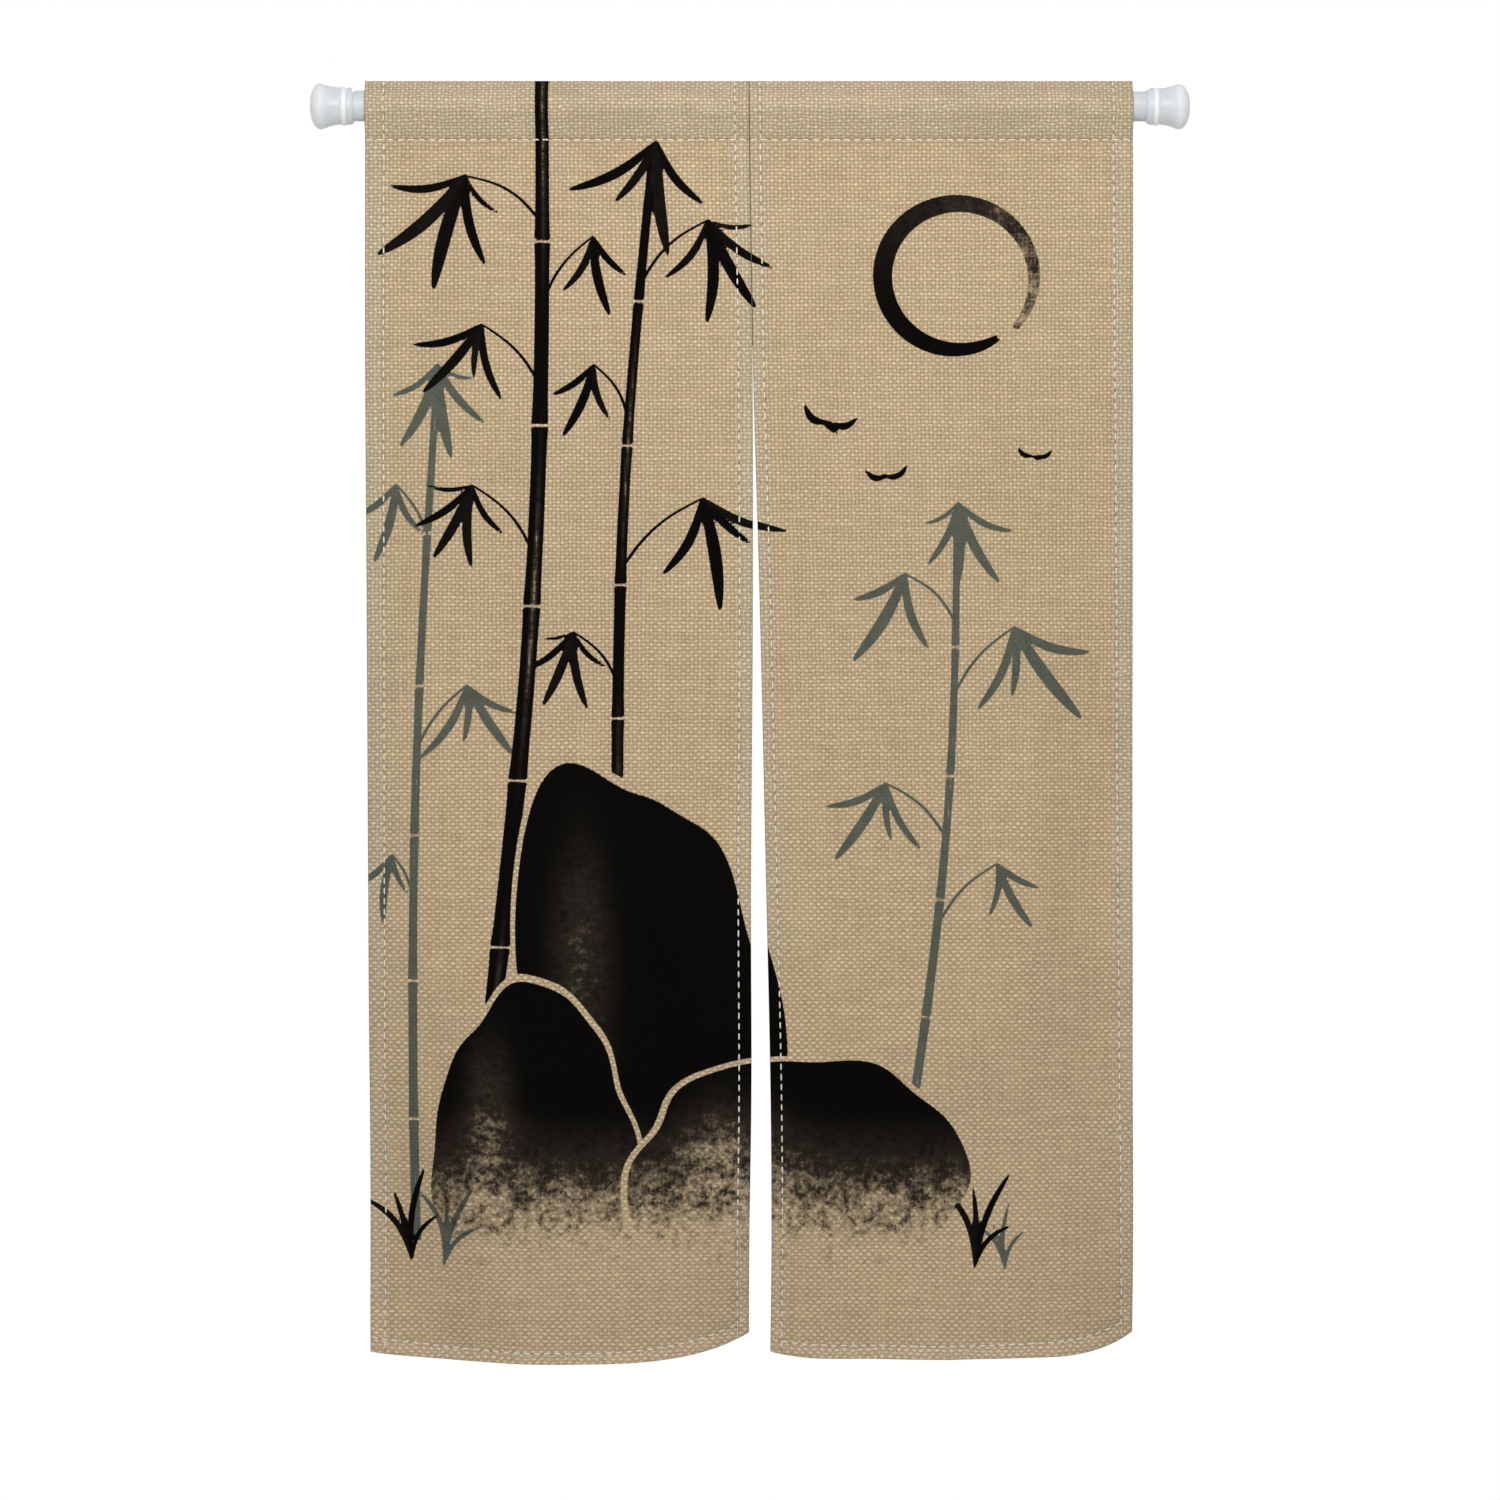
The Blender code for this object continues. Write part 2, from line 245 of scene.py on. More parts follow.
tube_paint, tube_shader, nodes = principled("rod_paint", TUBE_COLOR, 0.45)
peels, clouds = coated(nodes, PEEL_SIZE, CLOUD_SIZE)
nodes.feed(tube_shader, {"Base Color": nodes.mix(clouds, TUBE_COLOR, TUBE_CLOUDED),
                         "Roughness": nodes.span(clouds, 0.0, 1.0, 0.40, 0.52),
                         "Normal": nodes.bump(peels, PEEL_DEPTH)})

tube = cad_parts["rod_tube"]
tube.data.materials.clear()
tube.data.materials.append(tube_paint)


# The caps: flared ends of moulded milky plastic, pushed over the tube's ends, thickest at the rim and
# palest there, with a painted glow of light through the plastic. A ring stands near the mouth, painted
# near-white as a painted highlight, and the domed face presses against the wall.
CAP_SIDES = 96
CAP_COLOR = (0.70, 0.745, 0.785, 1.0)
CAP_RIM_GLOW = (0.97, 0.98, 0.99, 1.0)
CAP_RING_HIGHLIGHT = (0.98, 0.985, 0.99, 1.0)
CAP_DULL_COLOR = (0.45, 0.48, 0.52, 1.0)
CAP_PEEL_SIZE = 400.0
CAP_PEEL_DEPTH = 0.00002
CAP_CLOUD_SIZE = 70.0
CAP_CLOUDS = 0.10
SHARP_ANGLE = math.radians(50)
CAP_RIM_DEEP = 0.024
RING_FROM = 0.0350
RING_TO = 0.0405
# The profile, turned about the rod's axis: out over the face, along the outside, and into the socket
Turned = namedtuple("Turned", "from_face radius")
CAP_PROFILE = (
    Turned(0.0000, 0.0100), Turned(0.0006, 0.0130), Turned(0.0021, 0.0176), Turned(0.0038, 0.0207),
    Turned(0.0060, 0.0236), Turned(0.0085, 0.0254), Turned(0.0104, 0.0261), Turned(0.0118, 0.0263),
    Turned(0.0130, 0.0261), Turned(0.0148, 0.0255), Turned(0.0168, 0.0247), Turned(0.0188, 0.0239),
    Turned(0.0240, 0.0222), Turned(0.0300, 0.0212), Turned(0.0342, 0.0208), Turned(0.0350, 0.0210),
    Turned(0.0356, 0.0217), Turned(0.0366, 0.0221), Turned(0.0378, 0.0222), Turned(0.0390, 0.0221),
    Turned(0.0399, 0.0217), Turned(0.0405, 0.0211), Turned(0.0412, 0.0209), Turned(0.0430, 0.0210),
    Turned(0.0450, 0.0209), Turned(0.0466, 0.0204), Turned(0.0480, 0.0195), Turned(0.0489, 0.0185),
    Turned(0.0492, 0.0179), Turned(0.0486, 0.0175), Turned(0.0245, 0.0175),
)

MILKY = {
    "Specular IOR Level": 0.35,
    "Subsurface Weight": 0.25, "Subsurface Radius": (0.004, 0.004, 0.005), "Subsurface Scale": 1.0,
    "Sheen Weight": 0.45, "Sheen Roughness": 0.35, "Sheen Tint": WHITE,
    "Coat Weight": 0.15, "Coat Roughness": 0.12,
}


def plastic(name, rim_glow_color, color):
    """Milky plastic, from the rim's painted glow at the face to the body's colour."""
    material, shader, nodes = principled(name, color, 0.3, MILKY)
    peels, clouds = coated(nodes, CAP_PEEL_SIZE, CAP_CLOUD_SIZE)
    # Near the face the colour pales to the rim's: a painted glow of light through the thick plastic
    rim = nodes.add("ShaderNodeAttribute", attribute_name="rim").outputs["Fac"]
    tone = nodes.mix(nodes.span(rim, 0.0, 1.0), color, rim_glow_color)
    cloudy = nodes.mix(CAP_CLOUDS, tone, nodes.mix(clouds, CAP_DULL_COLOR, tone))
    nodes.feed(shader, {"Base Color": cloudy, "Roughness": nodes.span(clouds, 0.0, 1.0, 0.38, 0.50),
                        "Normal": nodes.bump(peels, CAP_PEEL_DEPTH)})
    return material


cap_plastic = plastic("cap_plastic", CAP_RIM_GLOW, CAP_COLOR)
# The ring is painted near-white: a painted highlight on its bead
ring_highlight_plastic = plastic("cap_ring_highlight_plastic", CAP_RING_HIGHLIGHT, CAP_RING_HIGHLIGHT)


def cap(name, node, face_x, direction):
    points = []
    rims = []
    faces = []
    in_ring = []
    for turned in CAP_PROFILE:
        for side in range(CAP_SIDES):
            angle = 2 * math.pi * side / CAP_SIDES
            points.append((face_x + direction * turned.from_face, turned.radius * math.sin(angle),
                           turned.radius * math.cos(angle)))
            rims.append(max(0.0, 1.0 - turned.from_face / CAP_RIM_DEEP))
    for row in range(len(CAP_PROFILE) - 1):
        middle = (CAP_PROFILE[row].from_face + CAP_PROFILE[row + 1].from_face) / 2
        for side in range(CAP_SIDES):
            here = row * CAP_SIDES + side
            after = row * CAP_SIDES + (side + 1) % CAP_SIDES
            face = (here, after, after + CAP_SIDES, here + CAP_SIDES)
            faces.append(face if direction < 0 else face[::-1])
            in_ring.append(RING_FROM < middle < RING_TO)
    face = tuple(range(CAP_SIDES))
    floor_of_socket = tuple(range(len(points) - CAP_SIDES, len(points)))
    faces += [face[::-1], floor_of_socket] if direction < 0 else [face, floor_of_socket[::-1]]
    in_ring += [False, False]
    shell = solid_object(name, points, faces)
    shell.data.shade_smooth()
    shell.data.set_sharp_from_angle(angle=SHARP_ANGLE)
    # How near each point lies to the face, for the rim's painted glow
    rim = shell.data.attributes.new("rim", "FLOAT", "POINT")
    rim.data.foreach_set("value", rims)
    shell.data.materials.append(cap_plastic)
    shell.data.materials.append(ring_highlight_plastic)
    for polygon, ringed in zip(shell.data.polygons, in_ring):
        polygon.material_index = int(ringed)
    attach(shell, "root")
    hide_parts(node)


cap("left_end_cap", "rod_cap_left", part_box("rod_cap_left")[0].x, 1)
cap("right_end_cap", "rod_cap_right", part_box("rod_cap_right")[1].x, -1)


# The two cloth panels: coarse plain-weave cloth, each with its side, bottom and heading hems turned to
# the back. The heading goes over the rod and is stitched down under it. The panels meet at a seam
# above the slit. Lengths repeat the solids' own, because the cloth hangs in the same folds.
PANEL_WIDTH = 0.430
CLOTH = 0.0013
TOP_CREASE = 0.0281
POCKET_STITCH = -0.0370
HANG = 1.3735
RIGHT_IS_SHORTER = 0.0039
POCKET_RADIUS = 0.0177
SEAM_GAP = 0.0003
TURN_GROWTH = 1.3
TURN_SHARPNESS = 1.8
COLUMN_PITCH = 0.0029
ROW_PITCH = 0.0033
REAR_ROW_STEP = 6
REAR_ROWS_HIGH = 4
REAR_ROWS_LOW = 22
POCKET_ARC_STEPS = 8
POCKET_STRAIGHT_STEPS = 6
EDGE_ROUND = 0.0011
EDGE_DROP = 0.85
# Where the mesh is finest across a hem: near its edge, and to either side of its stitches
EDGE_PLACES = (0.0, 0.0002, 0.0006, EDGE_ROUND)
BEFORE_STITCH = 0.0026
STITCH_PLACES = (-0.0013, 0.0, 0.0013, 0.0020, 0.0030, 0.0048)
HEM_STEPS = 4
HEMS_ACROSS = 0.044
HEMS_DOWN = 0.030
HEADING_HEM = 0.008
GROOVE = 0.00045
GROOVE_REACH = 0.0013
HEM_PUFF = 0.0004
PAST_STITCH = 0.0030
FOLD_STEP = 0.0010
PUCKER = 0.00018
PUCKER_REACH = 0.0035
SUNK_REACH = 0.0016
HEADING_SHADE = 0.0046
EDGE_SHADE = 0.0009
CREASE_FADE = 0.006
# Shares of the width in which the bottom hem's stitches bend towards its corners
LEFT_CORNER = 0.45
RIGHT_CORNER = 0.40
CORNER_BEND = 1.5
STITCH_PERIOD = 0.0116

Level = namedtuple("Level", "below_top left_edge seam slit right_edge")
LEVELS = (
    Level(0.000, -0.4320, -0.0011, 0.0000, 0.4292),
    Level(0.065, -0.4320, -0.0006, 0.0000, 0.4298),
    Level(0.296, -0.4321, 0.0027, 0.0000, 0.4300),
    Level(0.583, -0.4306, 0.0034, 0.0073, 0.4304),
    Level(0.920, -0.4294, 0.0013, 0.0170, 0.4309),
    Level(1.144, -0.4286, 0.0017, 0.0213, 0.4314),
    Level(1.312, -0.4280, -0.0007, 0.0247, 0.4320),
    Level(1.442, -0.4276, -0.0010, 0.0236, 0.4325),
)
Lift = namedtuple("Lift", "side reach rise power")
Fold = namedtuple("Fold", "across_top across_hem half_width depth start")
Slant = namedtuple("Slant", "across_top down_top across_low down_low half_width depth")
Turn = namedtuple("Turn", "side reach_top reach_hem depth start")
Curl = namedtuple("Curl", "side reach_in reach_up depth")
# Where the stitches run: distances in from the edges, at the top and at the hem
Stitching = namedtuple("Stitching", "left_top left_hem right_top right_hem hem_left hem_middle hem_right")
Panel = namedtuple("Panel", "name side hang lifts folds slants turns curls stitching")
PANELS = (
    Panel("left_cloth", "left", HANG,
          (Lift("left", 0.191, 0.0095, 2.20), Lift("right", 0.242, 0.0305, 4.00)),
          (Fold(0.024, 0.219, 0.164, -0.0235, 0.01), Fold(0.386, 0.417, 0.181, -0.0225, 0.22)),
          (Slant(-0.048, 0.981, 0.164, 1.554, 0.081, 0.0168),
           Slant(0.117, 0.207, 0.158, 0.815, 0.071, 0.0158),
           Slant(0.313, 0.484, 0.096, 0.765, 0.094, 0.0069)),
          (Turn("left", 0.030, 0.120, 0.024, 0.05), Turn("right", 0.050, 0.070, 0.006, 0.35)),
          (Curl("right", 0.170, 0.230, 0.046),),
          Stitching(0.0210, 0.0170, 0.0160, 0.0132, 0.0170, 0.0123, 0.0190)),
    Panel("right_cloth", "right", HANG - RIGHT_IS_SHORTER,
          (Lift("left", 0.081, 0.0056, 2.55), Lift("right", 0.216, 0.0044, 0.65),
           Lift("right", 0.124, 0.0212, 3.25)),
          (Fold(0.269, 0.254, 0.148, -0.0220, 0.42), Fold(0.315, 0.245, 0.106, 0.0090, 0.36)),
          (Slant(0.470, 0.941, 0.000, 1.395, 0.108, 0.0107),
           Slant(0.413, 0.205, 0.348, 1.527, 0.081, 0.0159)),
          (Turn("right", 0.040, 0.100, 0.026, 0.05), Turn("left", 0.040, 0.080, 0.012, 0.35)),
          (Curl("right", 0.090, 0.170, 0.024), Curl("left", 0.055, 0.110, 0.012)),
          Stitching(0.0120, 0.0132, 0.0220, 0.0140, 0.0150, 0.0150, 0.0200)),
)


def eased(value):
    value = np.clip(value, 0.0, 1.0)
    return value * value * (3.0 - 2.0 * value)


def at_level(column, below_top):
    """A smooth curve through one column of the table of levels."""
    depths = np.array([level.below_top for level in LEVELS])
    values = np.array([getattr(level, column) for level in LEVELS])
    slopes = np.gradient(values, depths)
    after = np.clip(np.searchsorted(depths, below_top, side="right"), 1, len(depths) - 1)
    span = depths[after] - depths[after - 1]
    share = np.clip((below_top - depths[after - 1]) / span, 0.0, 1.0)
    bend_in = share * (1 - share) ** 2 * span * slopes[after - 1]
    bend_out = share ** 2 * (share - 1) * span * slopes[after]
    return values[after - 1] + (values[after] - values[after - 1]) * eased(share) + bend_in + bend_out


def from_edge(side, across):
    return across if side == "left" else PANEL_WIDTH - across


def hang_length(panel, across):
    length = np.full(np.shape(across), panel.hang)
    for lift in panel.lifts:
        length -= lift.rise * np.maximum(0.0, 1 - from_edge(lift.side, across) / lift.reach) ** lift.power
    return length


def slant_depth(slant, across, down):
    run_across = slant.across_low - slant.across_top
    run_down = slant.down_low - slant.down_top
    length = math.hypot(run_across, run_down)
    off_across = across - slant.across_top
    off_down = down - slant.down_top
    along = np.clip((off_across * run_across + off_down * run_down) / length ** 2, 0.0, 1.0)
    off = np.abs(off_across * run_down - off_down * run_across) / length
    off = np.minimum(1.0, off / slant.half_width)
    return slant.depth * np.sin(np.pi * along) ** 2 * (1 - off * off) ** 2


LOW_CREASE = Slant(-0.107, 0.800, 0.168, 1.500, 0.060, 0.0042)


def unevenness(panel, across, down):
    """Dents and waves that the solids leave out, and a crease in the left panel's lowest fold."""
    phase = 0.0 if panel.side == "left" else 1.9
    grown = eased(down / 0.5)
    waves = 0.0007 * np.sin(across * 41 + down * 6.5 + phase) * np.sin(down * 9.3 + 2.0 * phase)
    waves += 0.0005 * np.sin(across * 67 - down * 17 + 2.2 + phase)
    waves += 0.0004 * np.sin(down * 31 + across * 12 + phase)
    crease = slant_depth(LOW_CREASE, across, down) if panel.side == "left" else 0.0
    return waves * grown + crease


def depth_back(panel, across, down):
    """How far back the cloth lies, at a place across the panel and down from its pocket stitches."""
    share = down / HANG
    back = unevenness(panel, across, down)
    for fold in panel.folds:
        centre = fold.across_top + (fold.across_hem - fold.across_top) * share
        off = np.minimum(1.0, np.abs(across - centre) / fold.half_width)
        back = back + fold.depth * eased((down - fold.start) / (HANG - fold.start)) * (1 - off * off) ** 2
    for slant in panel.slants:
        back = back + slant_depth(slant, across, down)
    for turn in panel.turns:
        grown = np.maximum(0.0, (down - turn.start) / (HANG - turn.start))
        reach = turn.reach_top + (turn.reach_hem - turn.reach_top) * grown
        near = np.maximum(0.0, 1 - from_edge(turn.side, across) / reach)
        back = back + turn.depth * grown ** TURN_GROWTH * near ** TURN_SHARPNESS
    for curl in panel.curls:
        near = np.maximum(0.0, 1 - from_edge(curl.side, across) / curl.reach_in)
        low = np.maximum(0.0, 1 - (hang_length(panel, across) - down) / curl.reach_up)
        back = back + curl.depth * near ** 2 * low ** 2
    return back


def place_x(panel, across, below_top):
    seam = at_level("seam", below_top)
    if panel.side == "left":
        left = at_level("left_edge", below_top)
        right = seam - SEAM_GAP / 2
    else:
        left = seam + SEAM_GAP / 2 + np.maximum(0.0, at_level("slit", below_top))
        right = at_level("right_edge", below_top)
    return rod_middle + left + (right - left) * across / PANEL_WIDTH


def pocket_lines():
    """The pocket's outer and inner front lines in Y and Z, from the stitches up to the crease."""
    inner_crease = TOP_CREASE * POCKET_RADIUS / (POCKET_RADIUS + CLOTH)
    first = math.pi - math.acos(POCKET_RADIUS / -POCKET_STITCH)
    last = math.acos(POCKET_RADIUS / inner_crease)
    angles = np.linspace(first, last, POCKET_ARC_STEPS + 1)
    lines = []
    for radius, low, high in ((POCKET_RADIUS + CLOTH, (-CLOTH / 2, POCKET_STITCH), (0.0, TOP_CREASE)),
                              (POCKET_RADIUS, (CLOTH / 2, POCKET_STITCH), (0.0, inner_crease))):
        arc = np.stack([-radius * np.sin(angles), radius * np.cos(angles)], axis=1)
        rise = np.linspace(low, arc[0], POCKET_STRAIGHT_STEPS, endpoint=False)
        roof = np.linspace(arc[-1], high, POCKET_STRAIGHT_STEPS)[1:]
        lines.append(np.concatenate([rise, arc, roof]))
    return lines


POCKET_OUTER, POCKET_INNER = pocket_lines()
POCKET_RISE = np.concatenate([[0.0], np.cumsum(np.linalg.norm(np.diff(POCKET_OUTER, axis=0), axis=1))])
HEADING = POCKET_RISE[-1]


def stitch_distance(panel, side, share):
    s = panel.stitching
    top, hem = (s.left_top, s.left_hem) if side == "left" else (s.right_top, s.right_hem)
    return top + (hem - top) * share


def hem_stitch_height(panel, across):
    s = panel.stitching
    share = across / PANEL_WIDTH
    left = np.maximum(0.0, 1 - share / LEFT_CORNER) ** CORNER_BEND
    right = np.maximum(0.0, 1 - (1 - share) / RIGHT_CORNER) ** CORNER_BEND
    return s.hem_middle + (s.hem_left - s.hem_middle) * left + (s.hem_right - s.hem_middle) * right


def near_line(distance, reach):
    return np.exp(-(distance / reach) ** 2)


def hems(panel, across, down):
    """For each hem: the distance in from its edge, that of its stitches, and the way along it."""
    share = np.clip(down / HANG, 0.0, 1.0)
    for side in ("left", "right"):
        yield from_edge(side, across), stitch_distance(panel, side, share), down
    yield hang_length(panel, across) - down, hem_stitch_height(panel, across), across


def front_relief(panel, across, down):
    """How far the front stands back: at rounded edges and sunk stitches, less where a hem is puffed."""
    relief = GROOVE * near_line(down, GROOVE_REACH)
    for edge, stitch, run in hems(panel, across, down):
        off = edge - stitch
        relief = relief + GROOVE * near_line(off, GROOVE_REACH)
        relief += PUCKER * np.sin(2 * np.pi * run / STITCH_PERIOD) * near_line(off, PUCKER_REACH)
        relief -= HEM_PUFF * np.sin(np.pi * np.clip(edge / stitch, 0.0, 1.0))
        relief += edge_fall(edge)
    return relief


def edge_fall(edge):
    inside = np.clip(EDGE_ROUND - edge, 0.0, EDGE_ROUND)
    return EDGE_DROP * (EDGE_ROUND - np.sqrt(EDGE_ROUND ** 2 - inside ** 2))


def rear_layers(panel, across, down):
    """1 where the cloth is single, 2 where a hem doubles it."""
    doubled = eased((HEADING_HEM + FOLD_STEP / 2 - down) / FOLD_STEP)
    for edge, stitch, _ in hems(panel, across, down):
        doubled = np.maximum(doubled, eased((stitch + PAST_STITCH - edge) / FOLD_STEP))
    return 1 + doubled


def hem_places(stitch):
    """Places in from an edge to just past a hem's stitches, closest where the cloth bends most."""
    flat = stitch - BEFORE_STITCH - EDGE_ROUND
    flat = [EDGE_ROUND + flat * step / HEM_STEPS for step in range(1, HEM_STEPS + 1)]
    return [*EDGE_PLACES, *flat, *(stitch + off for off in STITCH_PLACES)]


def column_places(panel, share):
    left = np.array(hem_places(stitch_distance(panel, "left", share)))
    right = PANEL_WIDTH - np.array(hem_places(stitch_distance(panel, "right", share)))[::-1]
    body_steps = round((PANEL_WIDTH - HEMS_ACROSS) / COLUMN_PITCH)
    body = np.linspace(left[-1], right[0], body_steps + 1)[1:-1]
    return np.concatenate([left, body, right])


def tail_grid(panel):
    """Places across and down of each point below the pocket's stitches, as rows from stitches to hem."""
    nominal = np.linspace(0.0, 1.0, round((panel.hang - HEMS_DOWN) / ROW_PITCH) + 1)
    first = np.array([0.0, 0.0012, 0.0024])
    across_rows = []
    down_rows = []
    for share in first / panel.hang:
        across_rows.append(column_places(panel, share))
        down_rows.append(np.full(len(across_rows[-1]), share * panel.hang))
    for share in nominal[1:]:
        across = column_places(panel, share)
        stitch = hem_stitch_height(panel, across)
        last = hang_length(panel, across) - stitch - STITCH_PLACES[-1]
        across_rows.append(across)
        down_rows.append(first[-1] + (last - first[-1]) * share)
    across = column_places(panel, 1.0)
    stitch = hem_stitch_height(panel, across)
    length = hang_length(panel, across)
    places = [hem_places(height) for height in stitch]
    for row in range(len(places[0]) - 2, -1, -1):
        across_rows.append(across)
        down_rows.append(length - np.array([column[row] for column in places]))
    return np.array(across_rows), np.array(down_rows)


def cloth_points(panel):
    """Rows of points round the panel's section, with their flat places and 1 where the front shows."""
    across, down = tail_grid(panel)
    top_across = across[0]
    x = place_x(panel, across, TOP_CREASE - POCKET_STITCH + down)
    y = depth_back(panel, across, down) - CLOTH / 2
    z = POCKET_STITCH - down
    front = np.stack([x, y + front_relief(panel, across, down), z], axis=2)
    lower_rear = np.maximum(edge_fall(across), edge_fall(PANEL_WIDTH - across))
    lower_rear = np.maximum(lower_rear, edge_fall(hang_length(panel, across) - down))
    rear = np.stack([x, y + CLOTH * rear_layers(panel, across, down) - lower_rear, z], axis=2)
    groove = front_relief(panel, across, down * 0)[0] - GROOVE
    flat_front = np.stack([across, down], axis=2)
    flat_up = flat_rows(top_across, -POCKET_RISE[1:])
    flat_behind = flat_rows(top_across, POCKET_RISE[-2:0:-1] - 2 * HEADING)
    keep = rear_rows_kept(len(down))
    outer = [(front[::-1], flat_front[::-1], 1.0),
             (pocket_rows(panel, top_across, POCKET_OUTER[1:], -1, groove), flat_up, 1.0),
             (pocket_rows(panel, top_across, POCKET_OUTER[-2:0:-1], 1, None), flat_behind, 0.0),
             (rear[keep], flat_front[keep], 0.0)]
    inner = [(front[:1] + np.array([0.0, CLOTH, 0.0]), flat_front[:1], 0.0),
             (pocket_rows(panel, top_across, POCKET_INNER[1:], -1, None), flat_up, 0.0),
             (pocket_rows(panel, top_across, POCKET_INNER[-2:0:-1], 1, None), flat_behind, 0.0)]
    return outer, inner, len(down), keep


def pocket_rows(panel, across, line, way, relief):
    """Rows of points along one of the pocket's lines, on its front (way -1) or its back (way 1)."""
    rows = []
    for y, z in line:
        x = place_x(panel, across, np.full(across.shape, TOP_CREASE - z))
        depth = -way * y + (0.0 if relief is None else relief * min(1.0, (TOP_CREASE - z) / CREASE_FADE))
        rows.append(np.stack([x, np.zeros(across.shape) + depth, np.full(across.shape, z)], axis=1))
    return np.array(rows)


def flat_rows(across, downs):
    return np.stack([np.broadcast_to(across, (len(downs), len(across))),
                     np.broadcast_to(np.array(downs)[:, None], (len(downs), len(across)))], axis=2)


def rear_rows_kept(count):
    """The rear keeps all its rows near the hems, and only one in every few between them."""
    middle = list(range(REAR_ROWS_HIGH, count - REAR_ROWS_LOW, REAR_ROW_STEP))
    return np.array(list(range(REAR_ROWS_HIGH)) + middle + list(range(count - REAR_ROWS_LOW, count)))


def ring_faces(rows, columns, first):
    """Quads between columns for a closed ring of rows."""
    row = np.arange(rows)
    after = (row + 1) % rows
    column = np.arange(columns - 1)
    a = first + row[:, None] * columns + column
    b = first + after[:, None] * columns + column
    return np.stack([a, a + 1, b + 1, b], axis=2).reshape(-1, 4)


def side_faces(column, columns, tail, pocket, keep, inner_first):
    """Closes one upright edge of a panel, leaving the pocket's tunnel open."""
    faces = []
    rear_first = tail + pocket
    for step in range(len(keep) - 1):
        top, low = keep[step], keep[step + 1]
        front = [tail - 1 - row for row in range(low, top - 1, -1)]
        rear = [rear_first + step, rear_first + step + 1]
        if step == 0:
            faces.append([row * columns + column for row in front]
                         + [inner_first + column]
                         + [row * columns + column for row in rear])
        else:
            faces.append([row * columns + column for row in front + rear])
    for step in range(pocket + 1):
        outer = tail - 1 + step
        inner = step
        after = (step + 1) % (pocket + 1)
        faces.append([outer * columns + column, (outer + 1) * columns + column,
                      inner_first + after * columns + column, inner_first + inner * columns + column])
    return faces


def build_cloth(panel):
    outer, inner, tail, keep = cloth_points(panel)
    outer_rows = sum(len(rows) for rows, _, _ in outer)
    inner_rows = sum(len(rows) for rows, _, _ in inner)
    columns = outer[0][0].shape[1]
    inner_first = outer_rows * columns
    points = np.concatenate([rows.reshape(-1, 3) for rows, _, _ in outer + inner])
    flat = np.concatenate([flats.reshape(-1, 2) for _, flats, _ in outer + inner])
    shows = np.concatenate([np.full(len(rows) * columns, side) for rows, _, side in outer + inner])
    faces = ring_faces(outer_rows, columns, 0).tolist()
    faces += ring_faces(inner_rows, columns, inner_first)[:, ::-1].tolist()
    faces += side_faces(0, columns, tail, inner_rows - 1, keep, inner_first)
    other_side = side_faces(columns - 1, columns, tail, inner_rows - 1, keep, inner_first)
    faces += [face[::-1] for face in other_side]
    cloth = solid_object(panel.name, points, faces)
    cloth.data.shade_smooth()
    cloth.data.set_sharp_from_angle(angle=SHARP_ANGLE)
    flat_points = np.column_stack([flat, np.zeros(len(flat))])
    write_attribute(cloth.data, "flat", "FLOAT_VECTOR", "vector", flat_points)
    shares = {"hem": hem_share(panel, flat), "sunk": sunk_shade_share(panel, flat), "shows": shows}
    for name, values in {**shares, **printed(panel, flat)}.items():
        write_attribute(cloth.data, name, "FLOAT", "value", values)
    return cloth


def write_attribute(mesh, name, kind, field, values):
    attribute = mesh.attributes.new(name, kind, "POINT")
    attribute.data.foreach_set(field, np.ascontiguousarray(values, np.float32).ravel())


def hem_share(panel, flat):
    """1 in the doubled hems and the heading, 0 in single cloth."""
    across, down = flat.T
    return np.where(down < 0, 1.0, rear_layers(panel, across, np.maximum(down, 0.02)) - 1)


def sunk_shade_share(panel, flat):
    """1 along the stitch lines and at the folded edges, where the cloth is pulled in, for painted shade.
    """
    across, down = flat.T
    sunk = np.maximum(near_line(down, SUNK_REACH), 0.5 * near_line(down - HEADING_SHADE, SUNK_REACH))
    for (edge, stitch, _), most in zip(hems(panel, across, down), (1.1, 1.1, 1.0)):
        sunk = np.maximum(sunk, near_line(edge - stitch, SUNK_REACH))
        sunk = np.maximum(sunk, most * near_line(edge, EDGE_SHADE))
    return sunk


# The print, in black and grey-green ink, as it crosses both panels: standing rocks, bamboo behind
# them, a brushed moon and three small birds. Places are metres right of the seam and below the top.
Rock = namedtuple("Rock", "x below half_width half_height squareness wobble")
ROCKS = (
    Rock(-0.130, 1.080, 0.135, 0.290, 2.5,
         ((2, 0.06, 0.4), (3, 0.07, 1.9), (5, 0.035, 0.3), (9, 0.015, 2.0))),
    Rock(-0.245, 1.205, 0.110, 0.165, 2.4,
         ((3, 0.06, 0.2), (4, 0.04, 1.2), (7, 0.025, 0.9), (11, 0.012, 2.6))),
    Rock(0.045, 1.235, 0.175, 0.125, 2.3,
         ((2, 0.05, 2.4), (3, 0.05, 0.6), (6, 0.03, 2.2), (10, 0.014, 0.4))),
)
ROCK_FOOT = 1.325
ROCK_FADE = 0.17
ROCK_LINE = 0.0055
Culm = namedtuple("Culm", "x_low below_low x_high below_high bow half_width joints ink")
CULMS = (
    Culm(-0.300, 1.150, -0.232, -0.020, 0.022, 0.0105, 6, "black"),
    Culm(-0.150, 0.860, -0.108, 0.095, -0.014, 0.0070, 5, "black"),
    Culm(-0.378, 1.315, -0.350, 0.345, -0.012, 0.0055, 6, "green"),
    Culm(0.165, 1.180, 0.228, 0.500, 0.016, 0.0055, 5, "green"),
)
